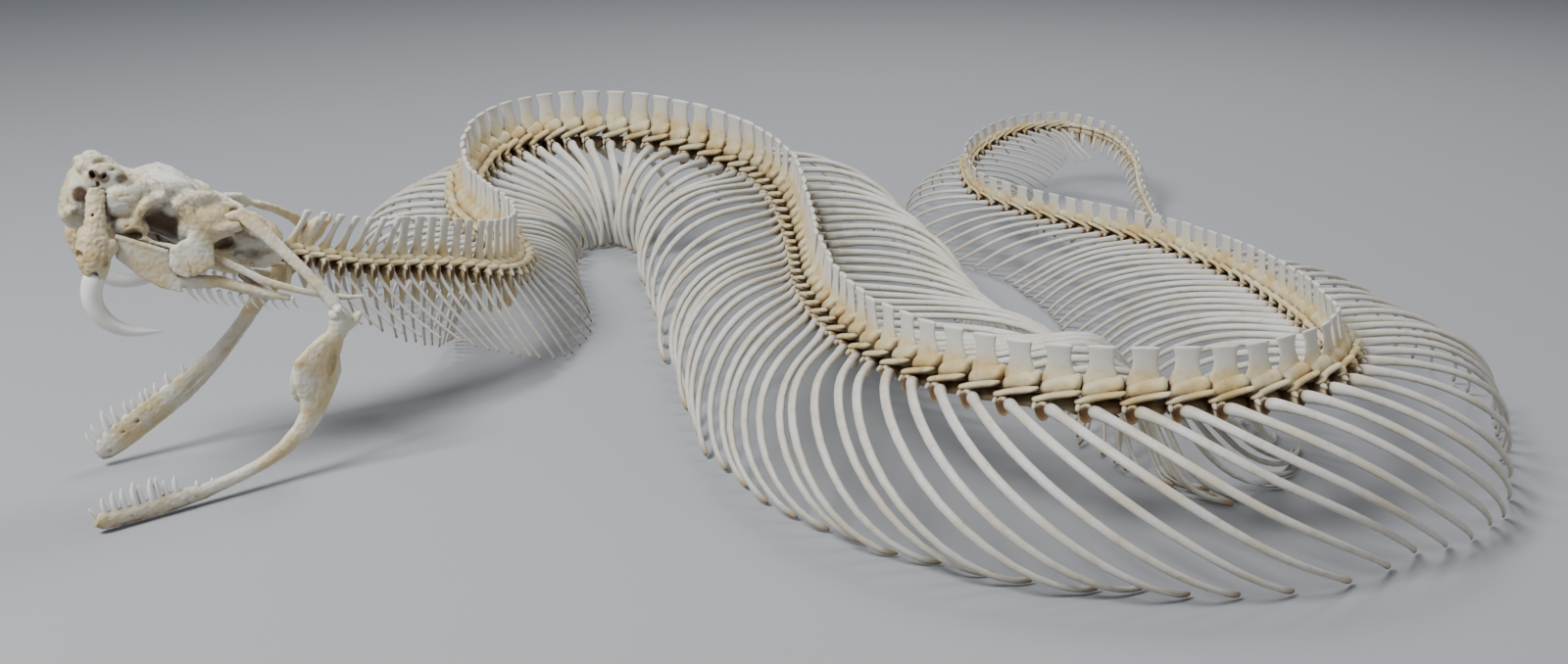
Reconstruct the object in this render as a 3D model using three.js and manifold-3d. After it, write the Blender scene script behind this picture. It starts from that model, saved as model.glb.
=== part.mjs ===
// Skeleton of a large viper, life size, resting on the tips of its ribs with the head raised and the jaws open.
// Millimetres, +Z up, floor at z = 0. The body is counted in vertebrae, from 0 at the neck joint to 160 at the
// tail tip. A point of the body is first given in "body" coordinates (sideways, upwards, vertebra number),
// and then bent round the curved spine.
import * as THREE from 'three';
import { mergeVertices } from 'three/addons/utils/BufferGeometryUtils.js';
import Module from 'manifold-3d';

const wasm = await Module();
wasm.setup();

// ---- driving dimensions ----

const MIDDLE = [3.05, 0.07];        // middle of the whole skeleton, seen from above, in the tables below
const JOINT_GAP = 0.3;              // clear gap between two neighbouring pieces
const TAIL_TIP = 160;               // number of the last vertebra
const FIRST_RIB = 2;
const LAST_RIB = 138;

// Lie of the spine: vertebra number, place of its body (x, y, z) and its lean in degrees.
const SPINE = [
  [0, -142.6, -113.5, 53.2, 5], [5, -126.2, -95.7, 44.9, 5], [10, -110.3, -75.1, 37.9, -6],
  [15, -97.5, -52.1, 29.7, -4], [18, -94, -35.8, 26.4, 3], [21, -94.7, -18.5, 25.2, 2],
  [24, -100.7, -1.2, 24.6, 0], [28, -111.2, 22.4, 23, 1], [32, -121.7, 47.8, 23.4, 1],
  [36, -126.5, 76.5, 28.2, -1], [40, -118.8, 106.3, 33.1, -5], [44, -94.3, 128.1, 34.9, -8],
  [48, -58.6, 131, 33.1, 4], [53, -21.2, 104.9, 28, 7], [58, -6.5, 59.6, 24.7, -5],
  [64, -1, 2, 21.7, -4], [70, 1.7, -56, 23.1, -7], [76, 13.2, -112.8, 26.8, 3],
  [80, 28.5, -147.5, 29.8, 2], [84, 56.4, -173.2, 33.2, 4], [88, 93.4, -178.1, 34.3, -11],
  [91, 118.1, -164.9, 34.4, -13], [94, 132.2, -141.6, 32.5, -12], [97, 136.4, -114.5, 29.9, -8],
  [101, 138.1, -78.1, 26.4, -4], [106, 134.7, -32.4, 23.3, -2], [112, 119.9, 20, 20.1, 2],
  [118, 92.4, 66.6, 17.8, -1], [123, 69.9, 104.3, 18.5, -5], [127, 67.7, 138.5, 21.7, -6],
  [130, 75.3, 161.9, 24.4, -10], [134, 93.3, 186.1, 27, -12], [138, 116.4, 199, 27.1, -2],
  [142, 135.3, 186.7, 24.6, 5], [146, 142.4, 166.7, 18.5, 2], [150, 141.7, 147.8, 11.1, 2],
  [155, 143.1, 125.5, 4.2, 1], [160, 144, 103.9, 2.3, 1],
];

// Length of one vertebra along the body, and its height from the middle of its body to the top of its spine.
const PITCH = [[0, 5.1], [20, 5.8], [37, 7.7], [52, 9.6], [70, 9.8], [82, 9.6], [94, 9.2], [112, 9.1],
  [127, 8.6], [140, 6], [150, 4.8], [160, 4.2]];
const HEIGHT = [[0, 12.9], [15, 17.1], [30, 20.6], [52, 21], [74, 16.8], [88, 14], [100, 13.5], [115, 10.4],
  [130, 8.5], [142, 6.8], [150, 5.2], [160, 3.4]];

// Shape of the ribs: vertebra number, length, how late the rib curls, and then for the left and the right rib
// the droop at its head and tip and the backward sweep at its head and tip, all in degrees.
const RIBS = [
  [2, 22, 1, 54, 51, 33, 49, 50, 52, 35, 49],
  [8, 30, 1.2, 63, 62, 27, 44, 53, 64, 30, 43],
  [14, 31, 1.4, 61, 63, 15, 36, 50, 73, 20, 36],
  [20, 33, 1.4, 43, 63, 3, 32, 39, 84, 10, 31],
  [26, 40, 1.5, 8, 92, 6, 31, -1, 100, 7, 24],
  [32, 52, 1.7, -4, 103, -2, 29, -11, 117, 0, 18],
  [38, 55, 1.8, 21, 116, 3, 34, 4, 123, 11, 19],
  [44, 59, 1.9, 23, 120, -6, 42, 19, 121, 20, 19],
  [50, 66, 2, -14, 117, -4, 34, 4, 117, 34, 22],
  [56, 81, 2.1, -12, 118, 44, 29, -25, 114, 48, 31],
  [62, 104, 2.2, -17, 133, 73, 36, -34, 135, 54, 38],
  [68, 107, 2.3, -18, 106, 80, 34, -16, 154, 30, 36],
  [74, 113, 2.7, -8, 162, 71, 38, -10, 177, 56, 36],
  [80, 104, 1.4, -18, 170, 53, 44, -38, 177, 61, 32],
  [86, 89, 0.7, -10, 126, 48, 59, -28, 159, 55, 67],
  [92, 75, 0.8, 5, 95, 12, 66, -15, 105, 46, 68],
  [98, 71, 1.4, -5, 85, 5, 40, -13, 86, 20, 52],
  [106, 65, 1.5, -10, 92, 10, 49, -8, 91, 16, 53],
  [114, 48, 1.5, -9, 97, 26, 57, 2, 94, 24, 64],
  [122, 49, 1.4, 5, 100, 34, 54, -7, 92, 37, 57],
  [130, 36, 1.2, 20, 79, 31, 50, 10, 63, 27, 48],
  [138, 19, 0.9, 27, 67, 38, 70, 19, 57, 29, 52],
];
const RIB_RADIUS = [[0, 0.7], [12, 0.85], [30, 1.2], [50, 1.45], [90, 1.45], [112, 1.2], [130, 0.8], [138, 0.65]];
const RIB_HEAD = 0.27;              // sideways place of a rib's head, as a share of the vertebra's height
const RIB_SIDES = 3;
const RIB_TAPER = 0.62;
const STEEP = 0.35;                 // a tip is stretched down to the floor as if it fell at least this steeply
const RIB_STEPS = [[35, 2], [36, 3], [80, 3], [81, 4]];   // straight steps in a rib, by its length
const SWEEP_LIMITS = [0.6, 1.8];    // how far a rib's sweep may be stretched to keep its own length
const SETTLED = [15, 20, 124, 129]; // ribs rest on the floor between these vertebrae, fading in and out

// Lengths of the body: name, first and last vertebra border, and vertebrae in each step of the side strips.
const LENGTHS = [
  { name: 'neck', from: 0.5, to: 20.5, step: 2 },
  { name: 'fore_bend', from: 20.5, to: 38.5, step: 1 },
  { name: 'hump', from: 38.5, to: 54.5, step: 1 },
  { name: 'fore_trunk', from: 54.5, to: 72.5, step: 2 },
  { name: 'front_trunk', from: 72.5, to: 88.5, step: 1 },
  { name: 'right_bend', from: 88.5, to: 103.5, step: 1 },
  { name: 'rear_trunk', from: 103.5, to: 121.5, step: 2 },
  { name: 'far_bend', from: 121.5, to: 138.5, step: 1 },
];
const TAIL = { name: 'tail', from: 138.5, to: TAIL_TIP + 0.5 };

// Side view of one vertebra with its upright plate: places tailwards in vertebrae, each with its lower and upper
// edge in heights. `thick` holds half the thickness at some heights.
const TRUNK_ROW = {
  edges: [[-0.5, -0.18, 0.42], [-0.36, -0.18, 1], [0.36, -0.18, 1]],
  thick: [[-0.18, 0.13], [0.42, 0.07], [1, 0.04]],
};
const NECK_ROW = {
  edges: [[-0.5, -0.18, 0.34], [0.05, -0.18, 1], [0.4, -0.18, 1]],
  thick: [[-0.18, 0.13], [0.34, 0.07], [1, 0.04]],
};
const TAIL_ROW = {
  edges: [[-0.5, -0.2, 0.3], [0.08, -0.8, 1], [0.3, -0.8, 1]],
  thick: [[-0.8, 0.2], [-0.2, 0.25], [0.3, 0.16], [1, 0.07]],
};
const NECK_END = 13;                // plates lean back up to this vertebra

// Section of the strip of rib joints along each side, in shares of the vertebra's height.
const FLANK = [[0, -0.16], [0.2, -0.12], [0, 0.26]];
const FLANK_START = 0.14;           // where the strip begins beside the middle

// Head: place of its rear end, turn about the vertical and upward tilt; it points along its own +X.
const HEAD_PLACE = [-145, -117, 54];
const HEAD_TURN = 208;
const HEAD_TILT = 16;

const boneLook = { roughness: 0.62, metalness: 0 };
const materials = {
  bone: new THREE.MeshStandardMaterial({ color: 0xe6dcc0, ...boneLook }),
  ribBone: new THREE.MeshStandardMaterial({ color: 0xdcd8cb, ...boneLook }),
  skullBone: new THREE.MeshStandardMaterial({ color: 0xe3d3ab, ...boneLook }),
};

// ---- small tools ----

const radians = THREE.MathUtils.degToRad;

/** Straight-line value of a table of [position, value, ...] rows in one column. */
function look(table, position, column = 1) {
  let i = 1;
  while (i < table.length - 1 && table[i][0] < position) i += 1;
  const [a, b] = [table[i - 1], table[i]];
  const share = THREE.MathUtils.clamp((position - a[0]) / (b[0] - a[0]), 0, 1);
  return a[column] + (b[column] - a[column]) * share;
}

/** Turns a closed geometry into a solid. */
function solid(geometry) {
  const bare = geometry.index ? geometry : geometry.clone();
  bare.deleteAttribute('normal');
  bare.deleteAttribute('uv');
  const merged = mergeVertices(bare, 1e-4);
  return new wasm.Manifold(new wasm.Mesh({
    numProp: 3,
    vertProperties: new Float32Array(merged.attributes.position.array),
    triVerts: new Uint32Array(merged.index.array),
  }));
}

/** Joins solids into one. */
function join(solids) {
  return solids.reduce((sum, piece) => sum.add(piece));
}

/** Turns a solid back into a geometry. */
function geometryOf(shape) {
  const mesh = shape.getMesh();
  const geometry = new THREE.BufferGeometry();
  const points = new Float32Array(mesh.vertProperties);
  geometry.setAttribute('position', new THREE.BufferAttribute(points, 3));
  geometry.setIndex(new THREE.BufferAttribute(new Uint32Array(mesh.triVerts), 1));
  return geometry;
}

/** Moves each vertex of a geometry by a function of its place. */
function warp(geometry, move) {
  const places = geometry.attributes.position;
  const point = new THREE.Vector3();
  for (let i = 0; i < places.count; i += 1) {
    point.fromBufferAttribute(places, i);
    point.copy(move(point));
    places.setXYZ(i, point.x, point.y, point.z);
  }
  return geometry;
}

/** Same solid whichever way its faces were wound by a mirrored bend. */
function outward(geometry) {
  const shape = solid(geometry);
  if (shape.volume() >= 0) return shape;
  const flipped = geometry.index ? geometry.toNonIndexed() : geometry;
  const places = flipped.attributes.position;
  const [a, b] = [new THREE.Vector3(), new THREE.Vector3()];
  for (let i = 0; i < places.count; i += 3) {
    a.fromBufferAttribute(places, i);
    b.fromBufferAttribute(places, i + 1);
    places.setXYZ(i, b.x, b.y, b.z);
    places.setXYZ(i + 1, a.x, a.y, a.z);
  }
  return solid(flipped);
}

/** Prism of an outline of [x, y] points, standing along +Z. */
function prism(outline, depth, steps = 1) {
  const shape = new THREE.Shape(outline.map(([x, y]) => new THREE.Vector2(x, y)));
  return new THREE.ExtrudeGeometry(shape, { depth, steps, bevelEnabled: false });
}

/** Regular outline with its corners on a circle of radius 1. */
function ring(sides) {
  return Array.from({ length: sides }, (_, i) => {
    const turn = 2 * Math.PI * i / sides;
    return [Math.cos(turn), Math.sin(turn)];
  });
}

/**
 * Bar through some points, with a radius for each. It tapers, has closed ends and may be flattened, and
 * `settle` may move its corners.
 */
function bar(points, radii, sides, steps, flatten = 1, settle = (p) => p) {
  const curve = new THREE.CatmullRomCurve3(points.map((p) => new THREE.Vector3(...p)), false, 'centripetal');
  const frames = Array.from({ length: steps + 1 }, (_, i) => {
    const place = curve.getPoint(i / steps);
    const along = curve.getTangent(i / steps);
    const across = new THREE.Vector3(0, 0, 1).cross(along);
    if (across.length() < 0.2) across.set(0, 1, 0).cross(along);
    across.normalize();
    return { place, across, other: along.clone().cross(across) };
  });
  const table = radii.map((radius, i) => [i / (radii.length - 1), radius]);
  return outward(warp(prism(ring(sides), 1, steps), (p) => {
    const step = Math.round(p.z * steps);
    const { place, across, other } = frames[step];
    const radius = look(table, p.z);
    const corner = place.clone().addScaledVector(across, p.x * radius * flatten);
    return settle(corner.addScaledVector(other, p.y * radius), step);
  }));
}

/** Long rounded block along +X: rows of [x, half width, bottom, top]. */
function block(rows, sides) {
  const steps = rows.length - 1;
  const tube = new THREE.CylinderGeometry(1, 1, 1, sides, steps);
  return outward(warp(tube, (p) => {
    const [x, half, low, high] = rows[Math.round((p.y + 0.5) * steps)];
    return new THREE.Vector3(x, p.x * half, (low + high) / 2 + p.z * (high - low) / 2);
  }));
}

/** Cuts away whatever is below the floor, which leaves small flats to rest on. */
function onFloor(shape) {
  const deep = 40;
  const wide = 1200;
  const ground = new THREE.BoxGeometry(wide, wide, deep).translate(0, 0, -deep / 2);
  return shape.subtract(solid(ground));
}

// ---- the bent body ----

/** Place or lean of the spine at a vertebra number, on a smooth curve through the table's rows. */
function spineValue(n, column) {
  let i = 0;
  while (i < SPINE.length - 2 && SPINE[i + 1][0] <= n) i += 1;
  const slope = (k) => {
    const low = SPINE[Math.max(k - 1, 0)];
    const high = SPINE[Math.min(k + 1, SPINE.length - 1)];
    return (high[column] - low[column]) / (high[0] - low[0]);
  };
  const width = SPINE[i + 1][0] - SPINE[i][0];
  const u = THREE.MathUtils.clamp((n - SPINE[i][0]) / width, 0, 1);
  const ends = [SPINE[i][column], SPINE[i + 1][column]];
  const value = (2 * u ** 3 - 3 * u ** 2 + 1) * ends[0] + (3 * u ** 2 - 2 * u ** 3) * ends[1]
    + width * ((u ** 3 - 2 * u ** 2 + u) * slope(i) + (u ** 3 - u ** 2) * slope(i + 1));
  const beyond = n - THREE.MathUtils.clamp(n, 0, TAIL_TIP);
  return value + beyond * slope(n < 0 ? 0 : SPINE.length - 1);
}

const spinePoint = (n) => new THREE.Vector3(spineValue(n, 1), spineValue(n, 2), spineValue(n, 3));

/** Middle, headward, upward and leftward directions of the body at a vertebra number. */
function frameAt(n) {
  const ahead = spinePoint(n - 0.5).sub(spinePoint(n + 0.5)).normalize();
  const upright = new THREE.Vector3(0, 0, 1);
  upright.addScaledVector(ahead, -ahead.z).normalize();
  const sideways = upright.clone().cross(ahead);
  const lean = radians(spineValue(n, 4));
  const up = upright.clone().multiplyScalar(Math.cos(lean)).addScaledVector(sideways, Math.sin(lean));
  const left = sideways.clone().multiplyScalar(Math.cos(lean)).addScaledVector(upright, -Math.sin(lean));
  return { middle: spinePoint(n), ahead, up, left };
}

/** World place of a point of the body: sideways (left +) and upwards in mm, at a vertebra number. */
function bodyPoint(left, up, n) {
  const frame = frameAt(n);
  return frame.middle.addScaledVector(frame.left, left).addScaledVector(frame.up, up);
}

/** Strip along the body: an outline in shares of the vertebra's height, moved aside by `shift` + `start`. */
function strip(outline, length, side, shift, start) {
  const ends = JOINT_GAP / 2;
  const from = length.from + ends / look(PITCH, length.from);
  const to = length.to - ends / look(PITCH, length.to);
  const steps = Math.round((to - from) / length.step);
  return outward(warp(prism(outline, 1, steps), (p) => {
    const n = from + p.z * (to - from);
    const height = look(HEIGHT, n);
    return bodyPoint(side * (shift + (start + p.x) * height), p.y * height, n);
  }));
}

/** Row of vertebrae of one length with their upright plates, bent along the spine. */
function vertebraRow(length, rowOf) {
  const gap = JOINT_GAP / 2;
  const from = length.from + gap / look(PITCH, length.from);
  const to = length.to - gap / look(PITCH, length.to);
  const stations = vertebraeOf(length).flatMap((n) => (
    rowOf(n).edges.map(([along, ...heights]) => [Math.max(n + along, from), ...heights])));
  const [, ...lastHeights] = rowOf(to).edges[0];
  stations.push([to, ...lastHeights]);
  const steps = stations.length - 1;
  const square = [[-1, 0], [1, 0], [1, 1], [-1, 1]];
  return outward(warp(prism(square, 1, steps), (p) => {
    const [n, ...heights] = stations[Math.round(p.z * steps)];
    const height = look(HEIGHT, n);
    const up = heights[Math.round(p.y)];
    const half = look(rowOf(n).thick, up) * height;
    return bodyPoint(p.x * half, up * height, n);
  }));
}

/** Middle line of a rib, in world places. It sweeps back along the bent body and keeps its own length. */
function ribLine(n, side, count) {
  const [length, curl] = [look(RIBS, n, 1), look(RIBS, n, 2)];
  const first = side > 0 ? 3 : 7;
  const [droop0, droop1, sweep0, sweep1] = [0, 1, 2, 3].map((k) => radians(look(RIBS, n, first + k)));
  const pitch = look(PITCH, n);
  const track = [{ out: RIB_HEAD * look(HEIGHT, n), up: 0, back: 0 }];
  for (let i = 0; i < count; i += 1) {
    const q = (i + 0.5) / count;
    const droop = droop0 + (droop1 - droop0) * q ** curl;
    const sweep = sweep0 + (sweep1 - sweep0) * q;
    const last = track[i];
    track.push({
      out: last.out + Math.cos(sweep) * Math.cos(droop) * length / count,
      up: last.up - Math.cos(sweep) * Math.sin(droop) * length / count,
      back: last.back + Math.sin(sweep) * length / count,
    });
  }
  const headOffset = 0.2;
  const place = (stretch) => track.map(({ out, up, back }) => (
    bodyPoint(side * out, up, n - headOffset + stretch * back / pitch)));
  const bent = place(1);
  let along = 0;
  let whole = 0;
  for (let i = 0; i < count; i += 1) {
    const part = bent[i + 1].clone().sub(bent[i]);
    const middle = n - headOffset + (track[i].back + track[i + 1].back) / 2 / pitch;
    along += Math.abs(part.dot(frameAt(middle).ahead));
    whole += part.length();
  }
  const across = Math.max(whole ** 2 - along ** 2, 0);
  const wanted = Math.sqrt(Math.max(length ** 2 - across, (0.2 * length) ** 2));
  const stretch = along > 0.15 * length ? THREE.MathUtils.clamp(wanted / along, ...SWEEP_LIMITS) : 1;
  const line = place(stretch);
  const radius = look(RIB_RADIUS, n);
  const floor = 0.4 * radius;
  const settled = THREE.MathUtils.clamp((n - SETTLED[0]) / (SETTLED[1] - SETTLED[0]), 0, 1)
    * THREE.MathUtils.clamp((SETTLED[3] - n) / (SETTLED[3] - SETTLED[2]), 0, 1);
  const drop = settled * (floor - line[count].z);
  line.forEach((p, i) => {
    p.z = Math.max(p.z + drop * (i / count) ** 2, floor);
  });
  return line;
}

/** One rib as a three-sided bar that starts inside the side strip. A tip near the floor ends in a small flat. */
function rib(n, side) {
  const fine = 24;
  const line = ribLine(n, side, fine);
  const steps = Math.round(look(RIB_STEPS, look(RIBS, n)));
  const radius = look(RIB_RADIUS, n);
  const inner = bodyPoint(side * (FLANK_START + 0.05) * look(HEIGHT, n), 0, n - 0.2);
  const points = [inner];
  for (let i = 1; i <= steps; i += 1) points.push(line[Math.round(fine * i / steps)]);
  const rests = points[steps].z < radius;
  const down = points[steps].clone().sub(points[steps - 1]).normalize();
  const slope = Math.min(down.z, -STEEP);
  return bar(points.map((p) => p.toArray()), [radius, radius * RIB_TAPER], RIB_SIDES, steps, 1, (p, step) => {
    if (rests && step === steps) p.addScaledVector(down, -p.z / slope).setZ(0);
    return p.setZ(Math.max(p.z, 0));
  });
}

/** Numbers of the vertebrae in one length of the body. */
function vertebraeOf({ from, to }) {
  const numbers = [];
  for (let n = Math.ceil(from); n < to; n += 1) numbers.push(n);
  return numbers;
}

/** One side of one length: the strip of rib joints with its ribs. */
function ribSide(length, side) {
  const ribs = vertebraeOf(length).filter((n) => n >= FIRST_RIB && n <= LAST_RIB).map((n) => rib(n, side));
  return join([strip(FLANK, length, side, JOINT_GAP, FLANK_START), ...ribs]);
}

// ---- the head, in its own frame: +X forwards, +Y to its left, +Z up ----

/** Braincase, forehead and snout in one, with the bars that frame each eye. */
function cranium() {
  const main = block([
    [-4.5, 3, 0, 6], [0, 7, -2, 10], [6, 8.5, -4, 12], [14, 8, -3, 15], [20, 6, -1, 17.5], [28, 6, 1, 19.5],
    [34, 7.5, 0, 17.5], [41, 7.5, 0, 18.5], [46, 6, 2, 17], [49.5, 3, 4, 10],
  ], 8);
  const eyeBars = [1, -1].flatMap((side) => [
    bar([[19, side * 5, 13], [18.5, side * 10, 9], [19.5, side * 12.5, 3], [18.5, side * 13.5, -3.5]],
      [2, 2, 2.4, 3.4], 5, 4, 0.6),
    bar([[31, side * 5, 14], [32, side * 8.5, 9], [34, side * 9.5, 4]], [3, 3, 2], 5, 2),
  ]);
  return join([main, ...eyeBars]);
}

/** Upper jaw bone with its long fang. The left fang is raised and the right one is folded back. */
function fangJaw(side) {
  const raised = side > 0;
  const jaw = bar([[41.5, side * 11.2, 9], [41, side * 12, 1], [39.5, side * 11.6, -8]], [3.4, 3.6, 4], 6, 3, 0.8);
  const fang = raised
    ? [[39.5, 11, -7], [40.7, 11, -13.5], [38.1, 11, -18.4], [31.7, 11, -22.3], [22.1, 11, -21]]
    : [[40, -11, -7], [36, -10, -13], [30, -9.5, -15.5], [24, -9, -13.5], [18, -9, -10]];
  return join([jaw, bar(fang, [2.7, 2.4, 1.9, 1.2, 0.3], 6, 6)]);
}

/** Palate bar of one side, from the upper jaw back to the jaw joint, with its hooked teeth. */
function palateBar(side) {
  const blade = bar([[35.5, side * 12.2, -2.5], [29, side * 12.6, -5], [21, side * 12.7, -8.2]],
    [3.8, 3.4, 2], 5, 2, 0.35);
  const rod = [[24, side * 12.8, -8], [14, side * 10, -8], [2, side * 11, -8.5], [-12, side * 14.5, -6],
    [-17, side * 16.2, -5.2]];
  return join([blade, bar(rod, [1.8, 2.2, 2, 1.5, 0.9], 5, 4), ...teethOn(rod, PALATE_TEETH, [-2, 0, -6])]);
}

/** Long bar that hangs the lower jaw from the back of the skull. */
function jawHanger(side) {
  const reach = side > 0 ? [-16.4, 19.4, -4.6] : [-15.4, -21.3, 4.6];
  const bend = side > 0 ? [-3, 14, 6] : [-5, -15, 9];
  return bar([[9, side * 10.2, 12], bend, reach], [2.6, 1.7, 2.3], 6, 4, 0.7);
}

/** Row of small pointed teeth standing on a bar, given by their shares of its length. */
function teethOn(line, shares, size) {
  const curve = new THREE.CatmullRomCurve3(line.map((p) => new THREE.Vector3(...p)), false, 'centripetal');
  return shares.map((share) => {
    const foot = curve.getPoint(share);
    const tip = foot.clone().add(new THREE.Vector3(...size));
    return bar([foot.toArray(), tip.toArray()], [0.9, 0.2], 3, 1);
  });
}

/** Lower jaw of one side in world places, with its row of teeth; its tip rests on the floor. */
function lowerJaw(line, radii, shares) {
  return onFloor(join([bar(line, radii, 6, 8, 0.55), ...teethOn(line, shares, [1.5, 1, 6.5])]));
}

const LEFT_JAW = [[-119.5, -125.5, 37.5], [-126.5, -132.8, 28], [-128.8, -134.5, 19], [-133, -138, 11],
  [-145, -148.5, 4.4], [-157, -160, 2.2], [-170.5, -172.5, 2]];
const RIGHT_JAW = [[-138.8, -90.5, 50], [-147, -97.5, 40.5], [-155.5, -104.5, 30], [-164, -111.6, 18.8],
  [-172, -118, 11.5], [-179, -123.8, 5.4], [-187, -130, 2.2]];
const LEFT_JAW_RADII = [3.2, 6.2, 5, 3.2, 2.2, 2.2, 1.7];
const RIGHT_JAW_RADII = [3.2, 4.6, 2.8, 2.6, 3.2, 3.4, 2.6];
const LEFT_TEETH = [0.76, 0.82, 0.88, 0.93, 0.98];
const RIGHT_TEETH = [0.62, 0.71, 0.8, 0.89, 0.97];
const PALATE_TEETH = [0.15, 0.3, 0.45, 0.6];

// ---- assembly ----

const model = new THREE.Group();
const skeleton = new THREE.Group();
skeleton.position.set(-MIDDLE[0], -MIDDLE[1], 0);
model.add(skeleton);

function add(name, shape, material, parent = skeleton) {
  const mesh = new THREE.Mesh(geometryOf(shape), material);
  mesh.name = name;
  parent.add(mesh);
}

const SIDES = [['left', 1], ['right', -1]];

const head = new THREE.Group();
head.position.set(...HEAD_PLACE);
head.rotation.set(0, radians(-HEAD_TILT), radians(HEAD_TURN), 'ZYX');
skeleton.add(head);
add('cranium', cranium(), materials.skullBone, head);
for (const [word, side] of SIDES) {
  add(`fang_jaw_${word}`, fangJaw(side), materials.skullBone, head);
  add(`palate_${word}`, palateBar(side), materials.skullBone, head);
  add(`jaw_hanger_${word}`, jawHanger(side), materials.skullBone, head);
}
add('lower_jaw_left', lowerJaw(LEFT_JAW, LEFT_JAW_RADII, LEFT_TEETH), materials.skullBone);
add('lower_jaw_right', lowerJaw(RIGHT_JAW, RIGHT_JAW_RADII, RIGHT_TEETH), materials.skullBone);

for (const length of LENGTHS) {
  const rowOf = (n) => (n < NECK_END - 0.5 ? NECK_ROW : TRUNK_ROW);
  add(`${length.name}_spine`, vertebraRow(length, rowOf), materials.bone);
  for (const [word, side] of SIDES) {
    add(`${length.name}_ribs_${word}`, ribSide(length, side), materials.ribBone);
  }
}
add('tail', onFloor(vertebraRow(TAIL, () => TAIL_ROW)), materials.bone);

export default model;
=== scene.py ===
import math
import random

import bmesh
import bpy
from mathutils import Matrix, Vector, noise


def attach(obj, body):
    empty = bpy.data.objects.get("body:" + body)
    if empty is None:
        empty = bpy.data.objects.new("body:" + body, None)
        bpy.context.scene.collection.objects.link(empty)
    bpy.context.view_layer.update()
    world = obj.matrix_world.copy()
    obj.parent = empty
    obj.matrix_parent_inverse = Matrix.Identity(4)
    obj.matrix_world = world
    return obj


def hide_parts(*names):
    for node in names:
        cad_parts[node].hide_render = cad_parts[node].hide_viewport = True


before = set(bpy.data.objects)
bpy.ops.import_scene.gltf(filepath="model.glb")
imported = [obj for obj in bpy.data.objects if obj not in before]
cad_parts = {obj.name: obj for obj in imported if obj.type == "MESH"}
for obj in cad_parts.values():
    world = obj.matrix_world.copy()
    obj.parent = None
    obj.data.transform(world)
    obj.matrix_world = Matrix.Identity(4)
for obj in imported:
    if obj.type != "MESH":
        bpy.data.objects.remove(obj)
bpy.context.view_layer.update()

# ---- Vertebrae ----
# A viper's backbone is a chain of about 160 small bones, each with a body, a roofed arch and an upright
# blade. They are dry, ivory bone, glued together where each one's ball sits in the socket of the next.
MM = 0.001
MIDDLE = (3.05, 0.07)
SPINE = [
    (0, -142.6, -113.5, 53.2, 5), (5, -126.2, -95.7, 44.9, 5), (10, -110.3, -75.1, 37.9, -6),
    (15, -97.5, -52.1, 29.7, -4), (18, -94, -35.8, 26.4, 3), (21, -94.7, -18.5, 25.2, 2),
    (24, -100.7, -1.2, 24.6, 0), (28, -111.2, 22.4, 23, 1), (32, -121.7, 47.8, 23.4, 1),
    (36, -126.5, 76.5, 28.2, -1), (40, -118.8, 106.3, 33.1, -5), (44, -94.3, 128.1, 34.9, -8),
    (48, -58.6, 131, 33.1, 4), (53, -21.2, 104.9, 28, 7), (58, -6.5, 59.6, 24.7, -5),
    (64, -1, 2, 21.7, -4), (70, 1.7, -56, 23.1, -7), (76, 13.2, -112.8, 26.8, 3),
    (80, 28.5, -147.5, 29.8, 2), (84, 56.4, -173.2, 33.2, 4), (88, 93.4, -178.1, 34.3, -11),
    (91, 118.1, -164.9, 34.4, -13), (94, 132.2, -141.6, 32.5, -12), (97, 136.4, -114.5, 29.9, -8),
    (101, 138.1, -78.1, 26.4, -4), (106, 134.7, -32.4, 23.3, -2), (112, 119.9, 20, 20.1, 2),
    (118, 92.4, 66.6, 17.8, -1), (123, 69.9, 104.3, 18.5, -5), (127, 67.7, 138.5, 21.7, -6),
    (130, 75.3, 161.9, 24.4, -10), (134, 93.3, 186.1, 27, -12), (138, 116.4, 199, 27.1, -2),
    (142, 135.3, 186.7, 24.6, 5), (146, 142.4, 166.7, 18.5, 2), (150, 141.7, 147.8, 11.1, 2),
    (155, 143.1, 125.5, 4.2, 1), (160, 144, 103.9, 2.3, 1),
]
PITCH = [(0, 5.1), (20, 5.8), (37, 7.7), (52, 9.6), (70, 9.8), (82, 9.6), (94, 9.2), (112, 9.1),
         (127, 8.6), (140, 6), (150, 4.8), (160, 4.2)]
HEIGHT = [(0, 12.9), (15, 17.1), (30, 20.6), (52, 21), (74, 16.8), (88, 14), (100, 13.5), (115, 10.4),
          (130, 8.5), (142, 6.8), (150, 5.2), (160, 3.4)]
LENGTHS = [("neck", 1, 20), ("fore_bend", 21, 38), ("hump", 39, 54), ("fore_trunk", 55, 72),
           ("front_trunk", 73, 88), ("right_bend", 89, 103), ("rear_trunk", 104, 121),
           ("far_bend", 122, 138)]


def value_at(table, n, column=1):
    """Straight-line value of a table between its rows."""
    i = 1
    while i < len(table) - 1 and table[i][0] < n:
        i += 1
    low, high = table[i - 1], table[i]
    share = min(max((n - low[0]) / (high[0] - low[0]), 0), 1)
    return low[column] + (high[column] - low[column]) * share


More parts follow.
